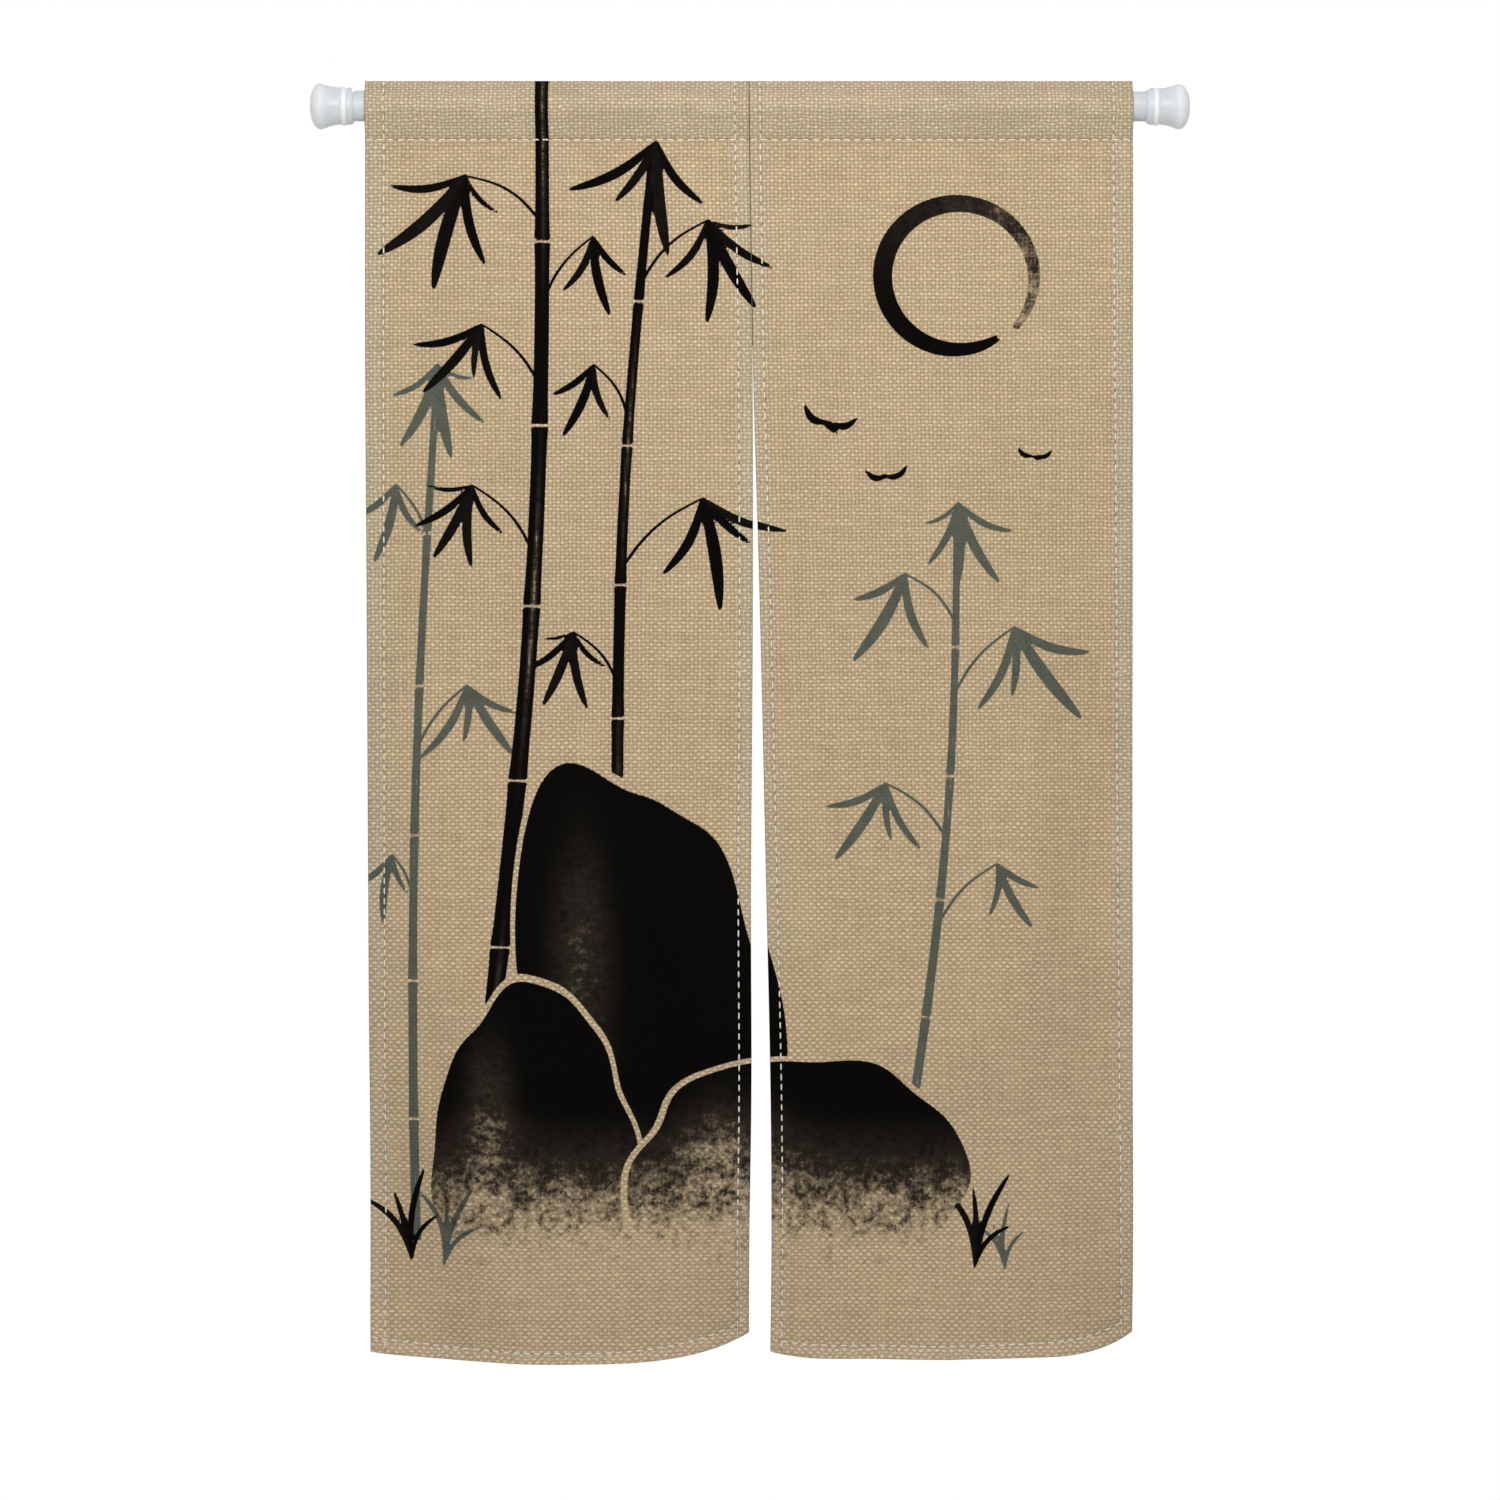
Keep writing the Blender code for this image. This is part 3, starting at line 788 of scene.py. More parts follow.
# A branch leaves its culm at below_root, and its spray of leaves hangs from its tip
Branch = namedtuple("Branch", "culm below_root x below lean size bow leaves way")
BRANCHES = (
    Branch(0, 0.172, -0.318, 0.118, -18, 0.125, -0.012, "full", 1),
    Branch(0, 0.262, -0.176, 0.186, 8, 0.092, 0.008, "three", -1),
    Branch(0, 0.355, -0.300, 0.285, -30, 0.104, -0.008, "four", 1),
    Branch(0, 0.545, -0.312, 0.465, -26, 0.105, -0.010, "full", -1),
    Branch(1, 0.098, -0.104, 0.080, -8, 0.110, 0.002, "four", -1),
    Branch(1, 0.240, -0.048, 0.168, 26, 0.120, 0.010, "full", 1),
    Branch(1, 0.395, -0.176, 0.330, -20, 0.088, -0.008, "three", 1),
    Branch(1, 0.560, -0.056, 0.480, 22, 0.110, 0.010, "four", 1),
    Branch(1, 0.690, -0.200, 0.630, -20, 0.082, -0.008, "full", -1),
    Branch(2, 0.350, -0.350, 0.330, 6, 0.095, 0.001, "full", 1),
    Branch(2, 0.520, -0.396, 0.465, -12, 0.075, -0.004, "three", 1),
    Branch(2, 0.760, -0.318, 0.690, 22, 0.092, 0.006, "four", -1),
    Branch(2, 0.930, -0.402, 0.880, -12, 0.072, -0.004, "three", -1),
    Branch(3, 0.503, 0.230, 0.485, 0, 0.105, 0.001, "full", -1),
    Branch(3, 0.620, 0.168, 0.565, -28, 0.095, -0.008, "three", 1),
    Branch(3, 0.700, 0.292, 0.625, 24, 0.108, 0.008, "four", -1),
    Branch(3, 0.860, 0.142, 0.800, -22, 0.088, -0.008, "four", 1),
    Branch(3, 0.960, 0.270, 0.890, 26, 0.082, 0.008, "three", -1),
)
JOINT_GAP = 0.0016
TWIG_HALF_WIDTH = 0.0017
TWIG_REACH = 0.0075
SprayLeaf = namedtuple("SprayLeaf", "turn length half_width bend")
SPRAYS = {
    "full": (SprayLeaf(-58, 0.62, 0.058, 0.10), SprayLeaf(-27, 0.95, 0.070, 0.06),
             SprayLeaf(2, 1.00, 0.074, -0.03), SprayLeaf(31, 0.84, 0.064, -0.07),
             SprayLeaf(66, 0.50, 0.052, -0.10)),
    "four": (SprayLeaf(-44, 0.78, 0.066, 0.09), SprayLeaf(-12, 1.06, 0.072, 0.03),
             SprayLeaf(24, 0.66, 0.068, -0.05), SprayLeaf(49, 0.94, 0.060, -0.08)),
    "three": (SprayLeaf(-36, 0.70, 0.074, 0.07), SprayLeaf(-4, 1.12, 0.076, 0.05),
              SprayLeaf(40, 0.82, 0.070, -0.09)),
    "grass": (SprayLeaf(-38, 0.70, 0.048, 0.14), SprayLeaf(-15, 1.12, 0.044, 0.07),
              SprayLeaf(6, 0.84, 0.046, -0.03), SprayLeaf(29, 1.00, 0.044, -0.14)),
}
Bird = namedtuple("Bird", "x below lean span")
BIRDS = (Bird(0.085, 0.395, -14, 0.058), Bird(0.150, 0.455, 6, 0.046), Bird(0.318, 0.432, -6, 0.038))
WING_SHARES = ((-1, 0.60, 0.16, 0.22), (1, 0.55, 0.16, -0.20))
MOON_X = 0.232
MOON_BELOW = 0.232
MOON_RADIUS = 0.083
MOON_HALF_BAND = 0.0068
MOON_OPENING = 0.95
Tuft = namedtuple("Tuft", "x below lean size ink")
TUFTS = (Tuft(-0.346, 1.342, 172, 0.096, "green"), Tuft(-0.383, 1.338, 188, 0.088, "black"),
         Tuft(0.240, 1.342, 174, 0.094, "black"), Tuft(0.276, 1.346, 190, 0.074, "green"))
FAR_OUTSIDE = -0.03


class Print:
    """Ink depth inside the motifs and its tone, gathered motif by motif for each ink."""

    def __init__(self, x, below):
        self.x = x
        self.below = below
        self.depth = self.both_inks(FAR_OUTSIDE)
        self.tone = self.both_inks(1.0)
        self.twig_side = self.both_inks(-FAR_OUTSIDE)
        self.twig_half = self.both_inks(FAR_OUTSIDE)

    def both_inks(self, value):
        return {ink: np.full(len(self.x), value) for ink in ("black", "green")}

    def put(self, ink, depth, tone):
        over = depth > self.depth[ink]
        self.depth[ink] = np.where(over, depth, self.depth[ink])
        self.tone[ink] = np.where(over, tone, self.tone[ink])

    def beside(self, x, below, run_x, run_down, bow):
        """Each point's share of the way along a bowed line, and how far it lies beside the line."""
        length = math.hypot(run_x, run_down)
        right = self.x - x
        down = self.below - below
        along = (right * run_x + down * run_down) / length ** 2
        side = (right * run_down - down * run_x) / length
        return along, side - bow * np.sin(np.pi * np.clip(along, 0.0, 1.0))

    def stroke(self, x, below, turn, length, half_width, bend, ink, tone=1.0):
        """One press of the brush: thin, swelling and drawn out to a point."""
        run_x = length * math.sin(math.radians(turn))
        run_down = length * math.cos(math.radians(turn))
        along, side = self.beside(x, below, run_x, run_down, bend * length)
        inside = np.clip(along, 0.0, 1.0)
        swell = 1.78 * (0.05 + 0.95 * inside) ** 0.62 * (1 - 0.985 * inside) ** 0.58
        depth = half_width * length * swell - np.abs(side)
        depth = depth - np.abs(along - inside) * length
        self.put(ink, depth, tone)

    def culm(self, culm):
        run_x = culm.x_high - culm.x_low
        run_down = culm.below_high - culm.below_low
        length = math.hypot(run_x, run_down)
        along, side = self.beside(culm.x_low, culm.below_low, run_x, run_down, -culm.bow)
        place = np.clip(along, 0.0, 0.9999) ** 0.92 * culm.joints
        within = place - np.floor(place)
        half = culm.half_width * (1 - 0.30 * np.clip(along, 0, 1)) * (1 + 0.16 * (2 * within - 1) ** 6)
        joint = np.minimum(within, 1 - within) * length / culm.joints
        ends = np.minimum(along, 1 - along) * length
        depth = np.minimum(np.minimum(half - np.abs(side), joint - JOINT_GAP), ends)
        dry = np.exp(-((side / half + 0.15) / 0.34) ** 2)
        self.put(culm.ink, depth, 1.0 - 0.52 * dry * (0.55 + 0.45 * np.sin(place * 2.3 + 1.0)))

    def branch(self, branch):
        """A thin stroke from the culm to the spray's root, then the spray."""
        culm = CULMS[branch.culm]
        up = (culm.below_low - branch.below_root) / (culm.below_low - culm.below_high)
        root = culm.x_low + (culm.x_high - culm.x_low) * up + culm.bow * math.sin(math.pi * up)
        run_x = branch.x - root
        run_down = branch.below - branch.below_root
        along, side = self.beside(root, branch.below_root, run_x, run_down, branch.bow)
        inside = np.clip(along, 0.0, 1.0)
        past = np.abs(along - inside) * math.hypot(run_x, run_down)
        near = (np.abs(side) < TWIG_REACH) & (past < TWIG_REACH)
        half = TWIG_HALF_WIDTH * (1.15 - 0.4 * inside) - past
        self.twig_side[culm.ink] = np.where(near, side, self.twig_side[culm.ink])
        self.twig_half[culm.ink] = np.where(near, half, self.twig_half[culm.ink])
        self.spray(branch.x, branch.below, branch.lean, branch.size, culm.ink, branch.leaves, branch.way)

    def spray(self, x, below, lean, size, ink, leaves="grass", way=1):
        for number, leaf in enumerate(SPRAYS[leaves]):
            wave = 1 + 0.12 * math.sin(7 * number + 90 * x + 40 * below)
            tone = 0.93 + 0.07 * math.sin(5 * number + 60 * x)
            self.stroke(x, below, lean + way * leaf.turn * wave, size * leaf.length * wave,
                        leaf.half_width / leaf.length ** 0.3, way * leaf.bend, ink, tone)

    def rock(self, rock):
        right = (self.x - rock.x) / rock.half_width
        down = (self.below - rock.below) / rock.half_height
        power = rock.squareness
        reach = (np.abs(right) ** power + np.abs(down) ** power) ** (1 / power)
        angle = np.arctan2(down, right)
        outline = 1.0
        for times, share, phase in rock.wobble:
            outline = outline + share * np.sin(times * angle + phase)
        depth = (outline - reach) * min(rock.half_width, rock.half_height)
        self.depth["black"] = np.where(depth > 0, -ROCK_LINE,
                                       np.minimum(self.depth["black"], -depth - ROCK_LINE))
        self.depth["green"] = np.minimum(self.depth["green"], -depth - ROCK_LINE)
        for half in self.twig_half.values():
            half[depth > -ROCK_LINE] = FAR_OUTSIDE
        low = np.clip((ROCK_FOOT - self.below) / ROCK_FADE, 0.0, 1.0)
        lit = np.exp(-(((right + 0.45) / 0.30) ** 2 + ((down + 0.25) / 0.55) ** 2))
        tone = (0.10 + 0.90 * low ** 0.8) * (1 - 0.34 * lit)
        self.put("black", np.minimum(depth, ROCK_FOOT + 0.015 - self.below), tone)

    def moon(self):
        right = self.x - MOON_X
        down = self.below - MOON_BELOW
        turned = np.mod(np.arctan2(down, right) - MOON_OPENING, 2 * math.pi) / (2 * math.pi)
        radius = np.hypot(right, down * 1.03) - MOON_RADIUS * (1 + 0.05 * turned)
        half = MOON_HALF_BAND * (0.25 + 1.35 * np.sin(np.pi * turned ** 0.75) ** 0.6)
        depth = half - np.abs(radius)
        gap = np.minimum(turned, 0.965 - turned) * 2 * math.pi * MOON_RADIUS
        self.put("black", np.minimum(depth, gap), 1.0 - 0.62 * turned ** 1.6)

    def bird(self, bird):
        for way, length, half_width, bend in WING_SHARES:
            turn = bird.lean + way * 112
            self.stroke(bird.x, bird.below, turn, bird.span * length, half_width, bend, "black")
        self.stroke(bird.x - bird.span * 0.16, bird.below - bird.span * 0.04, bird.lean + 66,
                    bird.span * 0.42, 0.15, 0.0, "black")


def printed(panel, flat):
    """The print's attributes at each point of a panel, by its flat place."""
    across, down = flat.T
    sheet = Print(across - PANEL_WIDTH if panel.side == "left" else across, down + HEADING)
    for culm in CULMS:
        sheet.culm(culm)
    for branch in BRANCHES:
        sheet.branch(branch)
    for rock in ROCKS:
        sheet.rock(rock)
    for tuft in TUFTS:
        sheet.spray(*tuft)
    sheet.moon()
    for bird in BIRDS:
        sheet.bird(bird)
    attributes = {}
    for field in ("depth", "tone", "twig_side", "twig_half"):
        for ink, values in getattr(sheet, field).items():
            attributes[f"{ink}_{field}"] = values
    return attributes


# The weave and the ink: a plain weave of thick, uneven, undyed yarns, each weft lying over every
# second warp, with its grid of gaps plainest high up. Its colour holds painted shade in the gaps, on
# the warp floats, along the stitches and towards the bottom, painted highlights on the yarns' crowns
# and painted light on the bottom hem. The ink is printed over it, on the front only.
WARP_PITCH = 0.0045
WEFT_PITCH = 0.0041
WEFT_COLOR = (0.765, 0.603, 0.399, 1.0)
WEFT_DULL = (0.640, 0.502, 0.329, 1.0)
# The warp's colours are darker than the weft's: painted shade on the warp floats, as both yarns are alike
WARP_SHADED_COLOR = (0.551, 0.424, 0.271, 1.0)
WARP_SHADED_DULL = (0.455, 0.350, 0.222, 1.0)
GAP_SHADE_COLOR = (0.150, 0.112, 0.066, 1.0)
WARM_TINT = (1.020, 0.993, 0.955, 1.0)
GREEN_TINT = (0.988, 0.994, 0.955, 1.0)
DOUBLED_TINT = (1.00, 1.055, 1.135, 1.0)
LOW_HEM_LIGHT = (1.13, 1.08, 1.075, 1.0)
BLACK_INK = (0.0024, 0.0022, 0.0018, 1.0)
BROWN_WASH = (0.040, 0.031, 0.022, 1.0)
GREEN_INK = (0.060, 0.082, 0.070, 1.0)
GREEN_WASH = (0.085, 0.105, 0.085, 1.0)
WEAVE_RELIEF = 0.0005
SUNK_SHADE = 0.38
FIBRE_REACH = 0.0016
INK_EDGES = {"black": 0.00035, "green": 0.00045}
GREEN_COVER = 0.93
# Between these depths below the pocket the grid fades, the yarns' tones draw together, the painted
# highlights weaken and painted shade darkens the cloth
CALM_FROM = 0.25
CALM_TO = 1.15
# The bottom hem's painted light comes in between these
LOW_HEM_FROM = 1.29
LOW_HEM_TO = 1.33

weave, grown, entry, leave = new_group(
    "Plain weave",
    [("Place", "vector"), ("Warp Pitch", "value"), ("Weft Pitch", "value"), ("Wander", "value"),
     ("Grid", "value")],
    [("Height", "value"), ("Weft", "value"), ("Gap Shade", "value"), ("Crown Highlight", "value"), ("Fleck", "value"),
     ("Weft Tone", "value"), ("Warp Tone", "value")])
split = grown.add("ShaderNodeSeparateXYZ", {"Vector": entry.outputs["Place"]})
drift = grown.add("ShaderNodeTexNoise", {"Vector": entry.outputs["Place"], "Scale": 55.0, "Detail": 2.0})
drift = grown.add("ShaderNodeSeparateXYZ", {"Vector": drift.outputs["Color"]})
yarns = []
for axis, pitch in (("X", "Warp Pitch"), ("Y", "Weft Pitch")):
    off = grown.swing(drift.outputs[axis], entry.outputs["Wander"])
    yarns.append(grown.plus(grown.math("DIVIDE", split.outputs[axis], entry.outputs[pitch]), off))
over_warp = grown.math("SINE", grown.times(yarns[0], math.pi))
over_weft = grown.math("SINE", grown.times(yarns[1], math.pi))
crossing = grown.times(over_warp, over_weft)
weft_run = grown.times(split.outputs["X"], 16.0)
warp_run = grown.times(split.outputs["Y"], 11.0)
which_weft = grown.times(grown.math("FLOOR", yarns[1]), 0.73)
which_warp = grown.times(grown.math("FLOOR", yarns[0]), 0.71)
weft_tone = grown.add("ShaderNodeCombineXYZ", {"X": weft_run, "Y": which_weft})
warp_tone = grown.add("ShaderNodeCombineXYZ", {"X": which_warp, "Y": warp_run})
weft_tone = grown.noise(weft_tone.outputs["Vector"], 1.0, 3.0, 0.6)
warp_tone = grown.noise(warp_tone.outputs["Vector"], 1.0, 3.0, 0.6)
round_warp = grown.math("ABSOLUTE", over_warp)
round_weft = grown.math("ABSOLUTE", over_weft)


def by_grid(without, within):
    return grown.span(entry.outputs["Grid"], 0.0, 1.0, without, within)


float_height = grown.times(crossing, by_grid(0.54, 0.34))
weft_top = grown.plus(float_height, grown.times(round_weft, 0.52))
warp_top = grown.minus(grown.times(round_warp, 0.42), grown.times(float_height, 0.9))
weft_top = grown.plus(weft_top, grown.swing(weft_tone, 0.26))
top = grown.math("MAXIMUM", weft_top, warp_top)
for yarn_round, least, most in ((round_warp, 0.16, 0.35), (round_weft, 0.00, 0.16)):
    between = grown.math("POWER", grown.minus(1.0, yarn_round), 2.0)
    top = grown.minus(top, grown.times(between, by_grid(least, most)))
fleck = grown.noise(entry.outputs["Place"], 300.0, 2.0, 0.6)
top = grown.plus(top, grown.swing(fleck, 0.16))
shown_weft = grown.swing(grown.span(grown.minus(weft_top, warp_top), -0.30, 0.50), by_grid(1.0, 0.5))
# The hollows between the yarns are marked for painted shade, and their tops for painted highlights
grown.feed(leave, {"Height": grown.times(top, by_grid(0.42, 1.05)), "Weft": grown.plus(shown_weft, 0.5),
                   "Gap Shade": grown.span(top, 0.36, -0.04), "Crown Highlight": grown.span(top, 0.50, 0.95),
                   "Fleck": fleck, "Weft Tone": weft_tone, "Warp Tone": warp_tone})

cloth_material, cloth_shader, nodes = principled("curtain_cloth", WEFT_COLOR, 0.88,
                                                 {"Specular IOR Level": 0.03})


def attribute(name):
    node = nodes.add("ShaderNodeAttribute", attribute_name=name)
    return node.outputs["Vector"] if name == "flat" else node.outputs["Fac"]


flat_place = attribute("flat")
hem = attribute("hem")
down = nodes.add("ShaderNodeSeparateXYZ", {"Vector": flat_place}).outputs["Y"]


def down_cloth(high_up, low_down):
    return nodes.span(down, CALM_FROM, CALM_TO, high_up, low_down)


threads = {"Place": flat_place, "Warp Pitch": WARP_PITCH, "Weft Pitch": WEFT_PITCH,
           "Wander": nodes.span(hem, 0.0, 1.0, 0.80, 1.2), "Grid": down_cloth(1.0, 0.0)}
threads = nodes.add("ShaderNodeGroup", threads, node_tree=weave).outputs
weft_color = nodes.mix(nodes.span(threads["Weft Tone"], 0.3, 0.7), WEFT_DULL, WEFT_COLOR)
# The warp is painted darker than the weft: painted shade
warp_shaded_color = nodes.mix(nodes.span(threads["Warp Tone"], 0.3, 0.7), WARP_SHADED_DULL, WARP_SHADED_COLOR)
color = nodes.mix(threads["Weft"], warp_shaded_color, weft_color)
# Painted shade in the gaps between the yarns
color = nodes.mix(nodes.times(threads["Gap Shade"], down_cloth(0.48, 0.56)), color, GAP_SHADE_COLOR)
# Painted highlights on the yarns' tops, strongest high up
crown_highlight = nodes.span(threads["Crown Highlight"], 0.0, 1.0, down_cloth(0.94, 0.985), down_cloth(1.24, 1.075))
color = nodes.shade(color, crown_highlight)
color = nodes.shade(color, nodes.span(threads["Fleck"], 0.30, 0.70, 0.91, 1.08))
patches = []
for stretch in ((34.0, 95.0, 0.0), (90.0, 30.0, 0.0)):
    along_yarns = nodes.add("ShaderNodeVectorMath", {0: flat_place, 1: stretch}, operation="MULTIPLY")
    patches.append(nodes.noise(along_yarns.outputs["Vector"], 1.0, 3.0, 0.6))
patch = nodes.times(nodes.plus(*patches), 0.5)
color = nodes.tint(color, nodes.mix(nodes.span(patch, 0.40, 0.60), GREEN_TINT, WARM_TINT))
broad = nodes.span(nodes.noise(flat_place, 9.0, 4.0), 0.3, 0.7, 0.975, 1.01)
# Darker towards the bottom: painted shade
color = nodes.shade(color, nodes.times(broad, down_cloth(1.03, 0.95)))
color = nodes.tint(color, nodes.mix(hem, WHITE, DOUBLED_TINT))
# Painted light brightens the bottom hem
low_hem_light = nodes.times(hem, nodes.span(down, LOW_HEM_FROM, LOW_HEM_TO))
color = nodes.tint(color, nodes.mix(low_hem_light, WHITE, LOW_HEM_LIGHT))
# Painted shade along the stitch lines, under the heading's stitches and at the folded edges
color = nodes.mix(nodes.times(attribute("sunk"), SUNK_SHADE), color, GAP_SHADE_COLOR)

# Ink lies on the front, with fibrous edges, and breaks up on the raised yarns where it is thin
fibre = nodes.swing(nodes.noise(flat_place, 420.0, 3.0, 0.6), FIBRE_REACH)
raised = nodes.times(nodes.minus(threads["Height"], 0.4), 0.18)
catch = nodes.plus(nodes.swing(nodes.noise(flat_place, 120.0, 5.0, 0.72), 1.5), raised)
smudge = nodes.swing(nodes.noise(flat_place, 34.0, 4.0, 0.6), 0.9)
inks = {}
for ink, edge in INK_EDGES.items():
    beside_twig = nodes.math("ABSOLUTE", attribute(ink + "_twig_side"))
    twig = nodes.minus(attribute(ink + "_twig_half"), beside_twig)
    depth = nodes.plus(nodes.math("MAXIMUM", attribute(ink + "_depth"), twig), fibre)
    tone = attribute(ink + "_tone")
    breaks = nodes.times(nodes.plus(catch, smudge), nodes.span(tone, 0.35, 1.0, 1.0, 0.0))
    thin = nodes.plus(tone, breaks)
    body = nodes.times(nodes.span(depth, -edge, edge), nodes.span(thin, 0.12, 0.66))
    inks[ink] = (body, thin)
shows = attribute("shows")
green_ink = nodes.mix(nodes.span(nodes.noise(flat_place, 60.0, 3.0), 0.3, 0.7), GREEN_INK, GREEN_WASH)
black_ink = nodes.mix(nodes.span(inks["black"][1], 0.98, 0.45), BLACK_INK, BROWN_WASH)
color = nodes.mix(nodes.times(inks["green"][0], nodes.times(shows, GREEN_COVER)), color, green_ink)
color = nodes.mix(nodes.times(inks["black"][0], shows), color, black_ink)
inked = nodes.times(nodes.math("MAXIMUM", inks["black"][0], inks["green"][0]), shows)
nodes.feed(cloth_shader, {"Base Color": color, "Roughness": nodes.span(inked, 0.0, 1.0, 0.92, 0.80),
                          "Normal": nodes.bump(threads["Height"], WEAVE_RELIEF, 0.8)})

for panel in PANELS:
    cloth = build_cloth(panel)
    cloth.data.materials.append(cloth_material)
    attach(cloth, "root")
    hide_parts(f"{panel.side}_panel")


# The stitching: rows of long lockstitches in thick cream thread, pulled into the cloth at each end.
# They hold the side hems, the bottom hem and the rod pocket, and they show on both faces.
STITCH_LENGTH = 0.0079
THREAD_HALF_WIDTH = 0.00088
THREAD_HALF_HEIGHT = 0.00056
THREAD_SIDES = 6
STITCH_RINGS = ((-0.50, -0.00075, 0.35), (-0.43, -0.00010, 0.85), (-0.22, 0.00022, 1.0),
                (0.22, 0.00022, 1.0), (0.43, -0.00010, 0.85), (0.50, -0.00075, 0.35))
THREAD_COLOR = (0.93, 0.87, 0.75, 1.0)
THREAD_TWIST_SHADE = (0.82, 0.75, 0.62, 1.0)
THREAD_RELIEF = 0.0001
SMALL_STEP = 0.0004
ROW_END = 0.0008
START_WANDER = 0.00025
LENGTH_WANDER = 0.035
BELOW_POCKET = 0.0009


def surface(panel, across, down, rear):
    """Points on a panel's front or rear, down from the pocket's stitches, or up over the pocket."""
    tail = np.maximum(down, 0.0)
    rise = np.clip(-down, 0.0, HEADING)
    side = 1 if rear else -1
    pocket_y = np.interp(rise, POCKET_RISE, -side * POCKET_OUTER[:, 0])
    pocket_z = np.interp(rise, POCKET_RISE, POCKET_OUTER[:, 1])
    if rear:
        tail_y = depth_back(panel, across, tail) + CLOTH * 1.5
        pocket_y = pocket_y + CLOTH * np.clip(1 - rise / POCKET_RISE[1], 0.0, 1.0)
    else:
        tail_y = depth_back(panel, across, tail) - CLOTH / 2 + front_relief(panel, across, tail)
        relief = front_relief(panel, across, tail * 0) - GROOVE
        pocket_y = pocket_y + relief * np.clip((TOP_CREASE - pocket_z) / CREASE_FADE, 0.0, 1.0)
    z = np.where(down > 0, POCKET_STITCH - tail, pocket_z)
    y = np.where(down > 0, tail_y, pocket_y)
    return np.stack([place_x(panel, across, TOP_CREASE - z), y, z], axis=-1)


def unit(vectors):
    return vectors / np.linalg.norm(vectors, axis=-1, keepdims=True)


def towards(panel, across, down, step_across, step_down, rear):
    """The way along a panel's surface for a small step in its flat places."""
    return unit(surface(panel, across + step_across, down + step_down, rear)
                - surface(panel, across - step_across, down - step_down, rear))


def stitch_row(panel, places, rear, rng):
    """Points of a row of stitches. places gives across and down at a distance along the row."""
    starts = np.arange(places.first, places.length - places.span - ROW_END, places.period)
    starts = starts + rng.normal(0.0, START_WANDER, len(starts))
    spans = places.span * rng.normal(1.0, LENGTH_WANDER, len(starts))
    rings = []
    for share, lift, size in STITCH_RINGS:
        run = starts + spans / 2 + share * spans
        across, down = places.at(run)
        ahead = np.stack(places.at(run + SMALL_STEP), axis=-1)
        ahead = ahead - np.stack(places.at(run - SMALL_STEP), axis=-1)
        here = surface(panel, across, down, rear)
        along = towards(panel, across, down, ahead[:, 0], ahead[:, 1], rear)
        crosswise = towards(panel, across, down, ahead[:, 1], -ahead[:, 0], rear)
        out = unit(np.cross(crosswise, along))
        out = out * np.where(out[:, 1:2] * (1 if rear else -1) > 0, 1.0, -1.0)
        crosswise = unit(np.cross(along, out))
        centre = here + out * lift
        ring = []
        for side in range(THREAD_SIDES):
            angle = 2 * math.pi * side / THREAD_SIDES
            ring.append(centre + crosswise * (THREAD_HALF_WIDTH * size * math.cos(angle))
                        + out * (THREAD_HALF_HEIGHT * size * math.sin(angle)))
        rings.append(np.stack(ring, axis=1))
    return np.stack(rings, axis=1)


def thread_faces(count, rings, sides):
    """Faces of closed lengths of thread, each a run of rings with a flat end either way."""
    faces = []
    for first in range(0, count * rings * sides, rings * sides):
        faces.append([first + side for side in range(sides)][::-1])
        for here in range(first, first + (rings - 1) * sides, sides):
            for side in range(sides):
                after = (side + 1) % sides
                faces.append([here + side, here + after, here + sides + after, here + sides + side])
        faces.append([first + (rings - 1) * sides + side for side in range(sides)])
    return faces


def sewn(name, lengths, material):
    """Lengths of thread as one object. Their points are given by length, ring and side."""
    count, rings, sides, _ = lengths.shape
    sewing = solid_object(name, lengths.reshape(-1, 3), thread_faces(count, rings, sides))
    sewing.data.shade_smooth()
    sewing.data.materials.append(material)
    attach(sewing, "root")
    return sewing


class Row:
    """A row of stitches: how far apart and how long they are, and the row's own length."""
    period = STITCH_PERIOD
    span = STITCH_LENGTH
    length = PANEL_WIDTH


class SideRow(Row):
    """Runs down beside a side edge, from the heading's crease to the bottom."""

    def __init__(self, panel, side, rear):
        self.panel = panel
        self.side = side
        self.first = 0.0016 if rear else 0.0006
        across = from_edge(side, stitch_distance(panel, side, 1.0))
        self.length = HEADING + float(hang_length(panel, np.array([across]))[0])

    def at(self, run):
        down = run - HEADING
        across = stitch_distance(self.panel, self.side, np.clip(down / HANG, 0.0, 1.0))
        return from_edge(self.side, across), down


class HemRow(Row):
    """Runs across above the bottom edge."""
    first = 0.0012

    def __init__(self, panel):
        self.panel = panel

    def at(self, run):
        inside = np.clip(run, 0.0, PANEL_WIDTH)
        return run, hang_length(self.panel, inside) - hem_stitch_height(self.panel, inside)


class HeadingRow(Row):
    """Runs across under the rod and closes the pocket."""
    first = 0.0009

    def at(self, run):
        return run, np.full(run.shape, BELOW_POCKET)


thread, thread_shader, nodes = principled("hem_thread", THREAD_COLOR, 0.6)
place = nodes.add("ShaderNodeTexCoord").outputs["Object"]
twist = {"Vector": place, "Scale": 420.0, "Distortion": 2.0, "Detail": 1.0}
twist = nodes.add("ShaderNodeTexWave", twist, wave_type="BANDS", bands_direction="DIAGONAL")
twist = twist.outputs["Fac"]
fuzz = nodes.noise(place, 900.0, 3.0)
# Darker along the twist's bands, broken by noise: painted shade in the twist's grooves, with random tone
nodes.feed(thread_shader, {"Base Color": nodes.mix(nodes.times(twist, fuzz), THREAD_COLOR, THREAD_TWIST_SHADE),
                           "Normal": nodes.bump(twist, THREAD_RELIEF)})

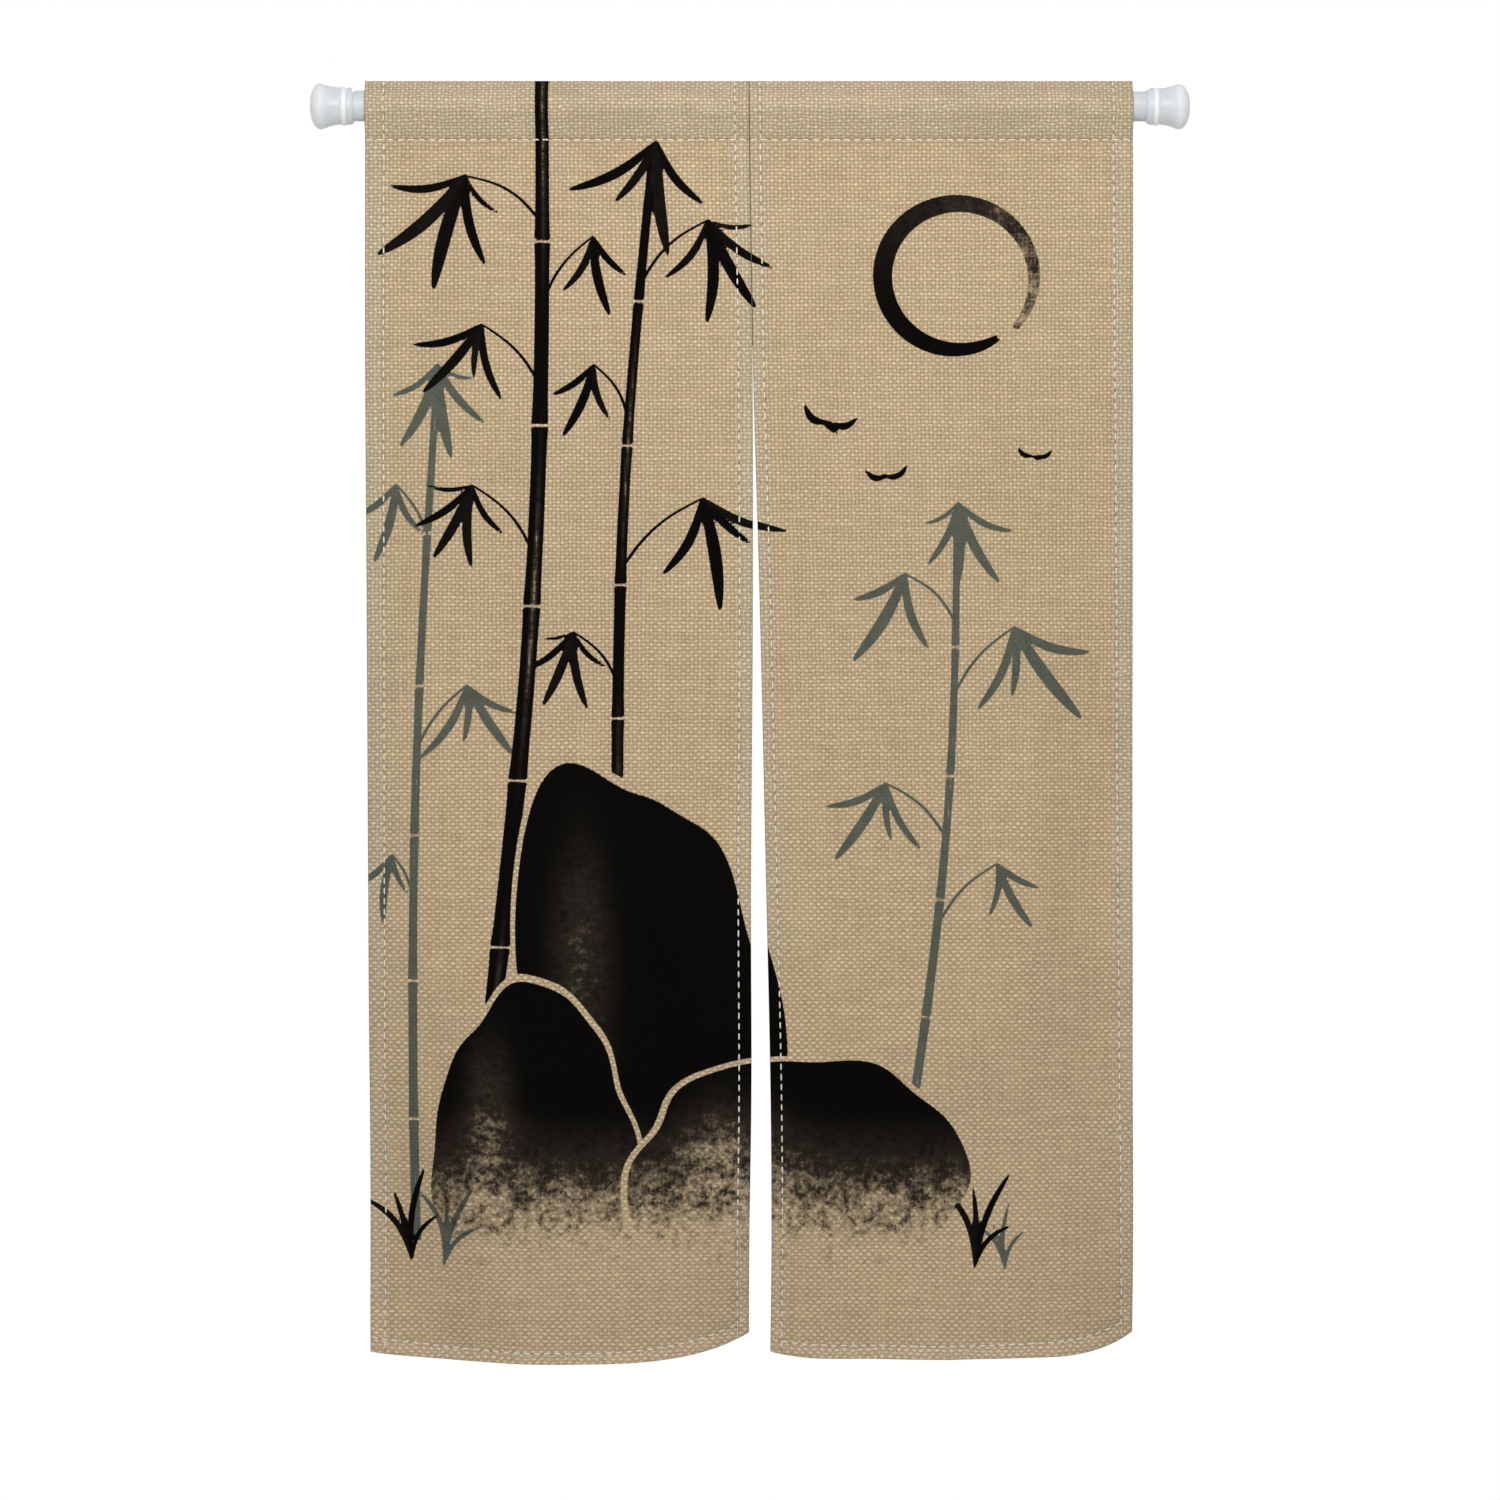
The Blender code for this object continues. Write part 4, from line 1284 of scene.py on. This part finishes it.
for panel in PANELS:
    rng = np.random.default_rng(11 if panel.side == "left" else 12)
    rows = []
    for rear in (False, True):
        sides = (SideRow(panel, "left", rear), SideRow(panel, "right", rear))
        for places in (*sides, HemRow(panel), HeadingRow()):
            rows.append(stitch_row(panel, places, rear, rng))
    stitching = sewn(f"{panel.side}_stitching", np.concatenate(rows), thread)


# The seam above the slit: a strong thread lies between the two folded edges and draws them together.
# Its dark brown is painted shade, for the shadow in the groove between the edges. They are oversewn
# to and fro across their backs in the hems' own thread, down to the slit.
SEAM_END = 0.300
SEAM_THREAD_RADIUS = 0.00055
SEAM_SUNK = 0.0010
SEAM_REACH = 0.0023
SEAM_STEP = 0.0034
SEAM_THREAD_SIDES = 8
SEAM_THREAD_SHADE = (0.075, 0.062, 0.046, 1.0)
SEAM_THREAD_SHADE_PALE = (0.12, 0.10, 0.075, 1.0)


class SeamRow(Row):
    """Runs to and fro across the seam, one stitch each way."""
    period = math.hypot(2 * SEAM_REACH, SEAM_STEP)
    span = 0.97 * period
    first = 0.0
    length = (SEAM_END - TOP_CREASE + POCKET_STITCH + HEADING) / SEAM_STEP * period

    def at(self, run):
        leg = np.floor(run / self.period)
        share = run / self.period - leg
        way = np.where(leg % 2 == 0, 1.0, -1.0)
        return PANEL_WIDTH + way * SEAM_REACH * (2 * share - 1), (leg + share) * SEAM_STEP - HEADING


left_panel = PANELS[0]
downs = np.arange(-HEADING, SEAM_END - TOP_CREASE + POCKET_STITCH, 0.004)
edges = np.full(downs.shape, PANEL_WIDTH)
front_edge = surface(left_panel, edges - 0.003, downs, False)
slope_y = np.gradient(front_edge[:, 1])
slope_z = np.gradient(front_edge[:, 2])
inward = unit(np.stack([0 * downs, slope_z, -slope_y], axis=1))
inward = inward * np.where(inward[:, 1:2] > 0, 1.0, -1.0)
line = front_edge + inward * SEAM_SUNK
line[:, 0] = rod_middle + at_level("seam", TOP_CREASE - line[:, 2])
turns = 2 * math.pi * np.arange(SEAM_THREAD_SIDES) / SEAM_THREAD_SIDES
sideways = np.array([1.0, 0.0, 0.0])
round_it = np.cos(turns)[None, :, None] * sideways + np.sin(turns)[None, :, None] * inward[:, None]
seam_points = line[:, None] + SEAM_THREAD_RADIUS * round_it
# The seam thread's dark colour is painted shade
seam_shade_thread, seam_shader, nodes = principled("seam_shade_thread", SEAM_THREAD_SHADE, 0.7)
place = nodes.add("ShaderNodeTexCoord").outputs["Object"]
tone = nodes.mix(nodes.noise(place, 700.0, 3.0), SEAM_THREAD_SHADE, SEAM_THREAD_SHADE_PALE)
nodes.feed(seam_shader, {"Base Color": tone})
sewn("seam_shade_thread", seam_points[None], seam_shade_thread)
oversewn = stitch_row(left_panel, SeamRow(), True, np.random.default_rng(13))
sewn("seam_oversewing", oversewn, thread)
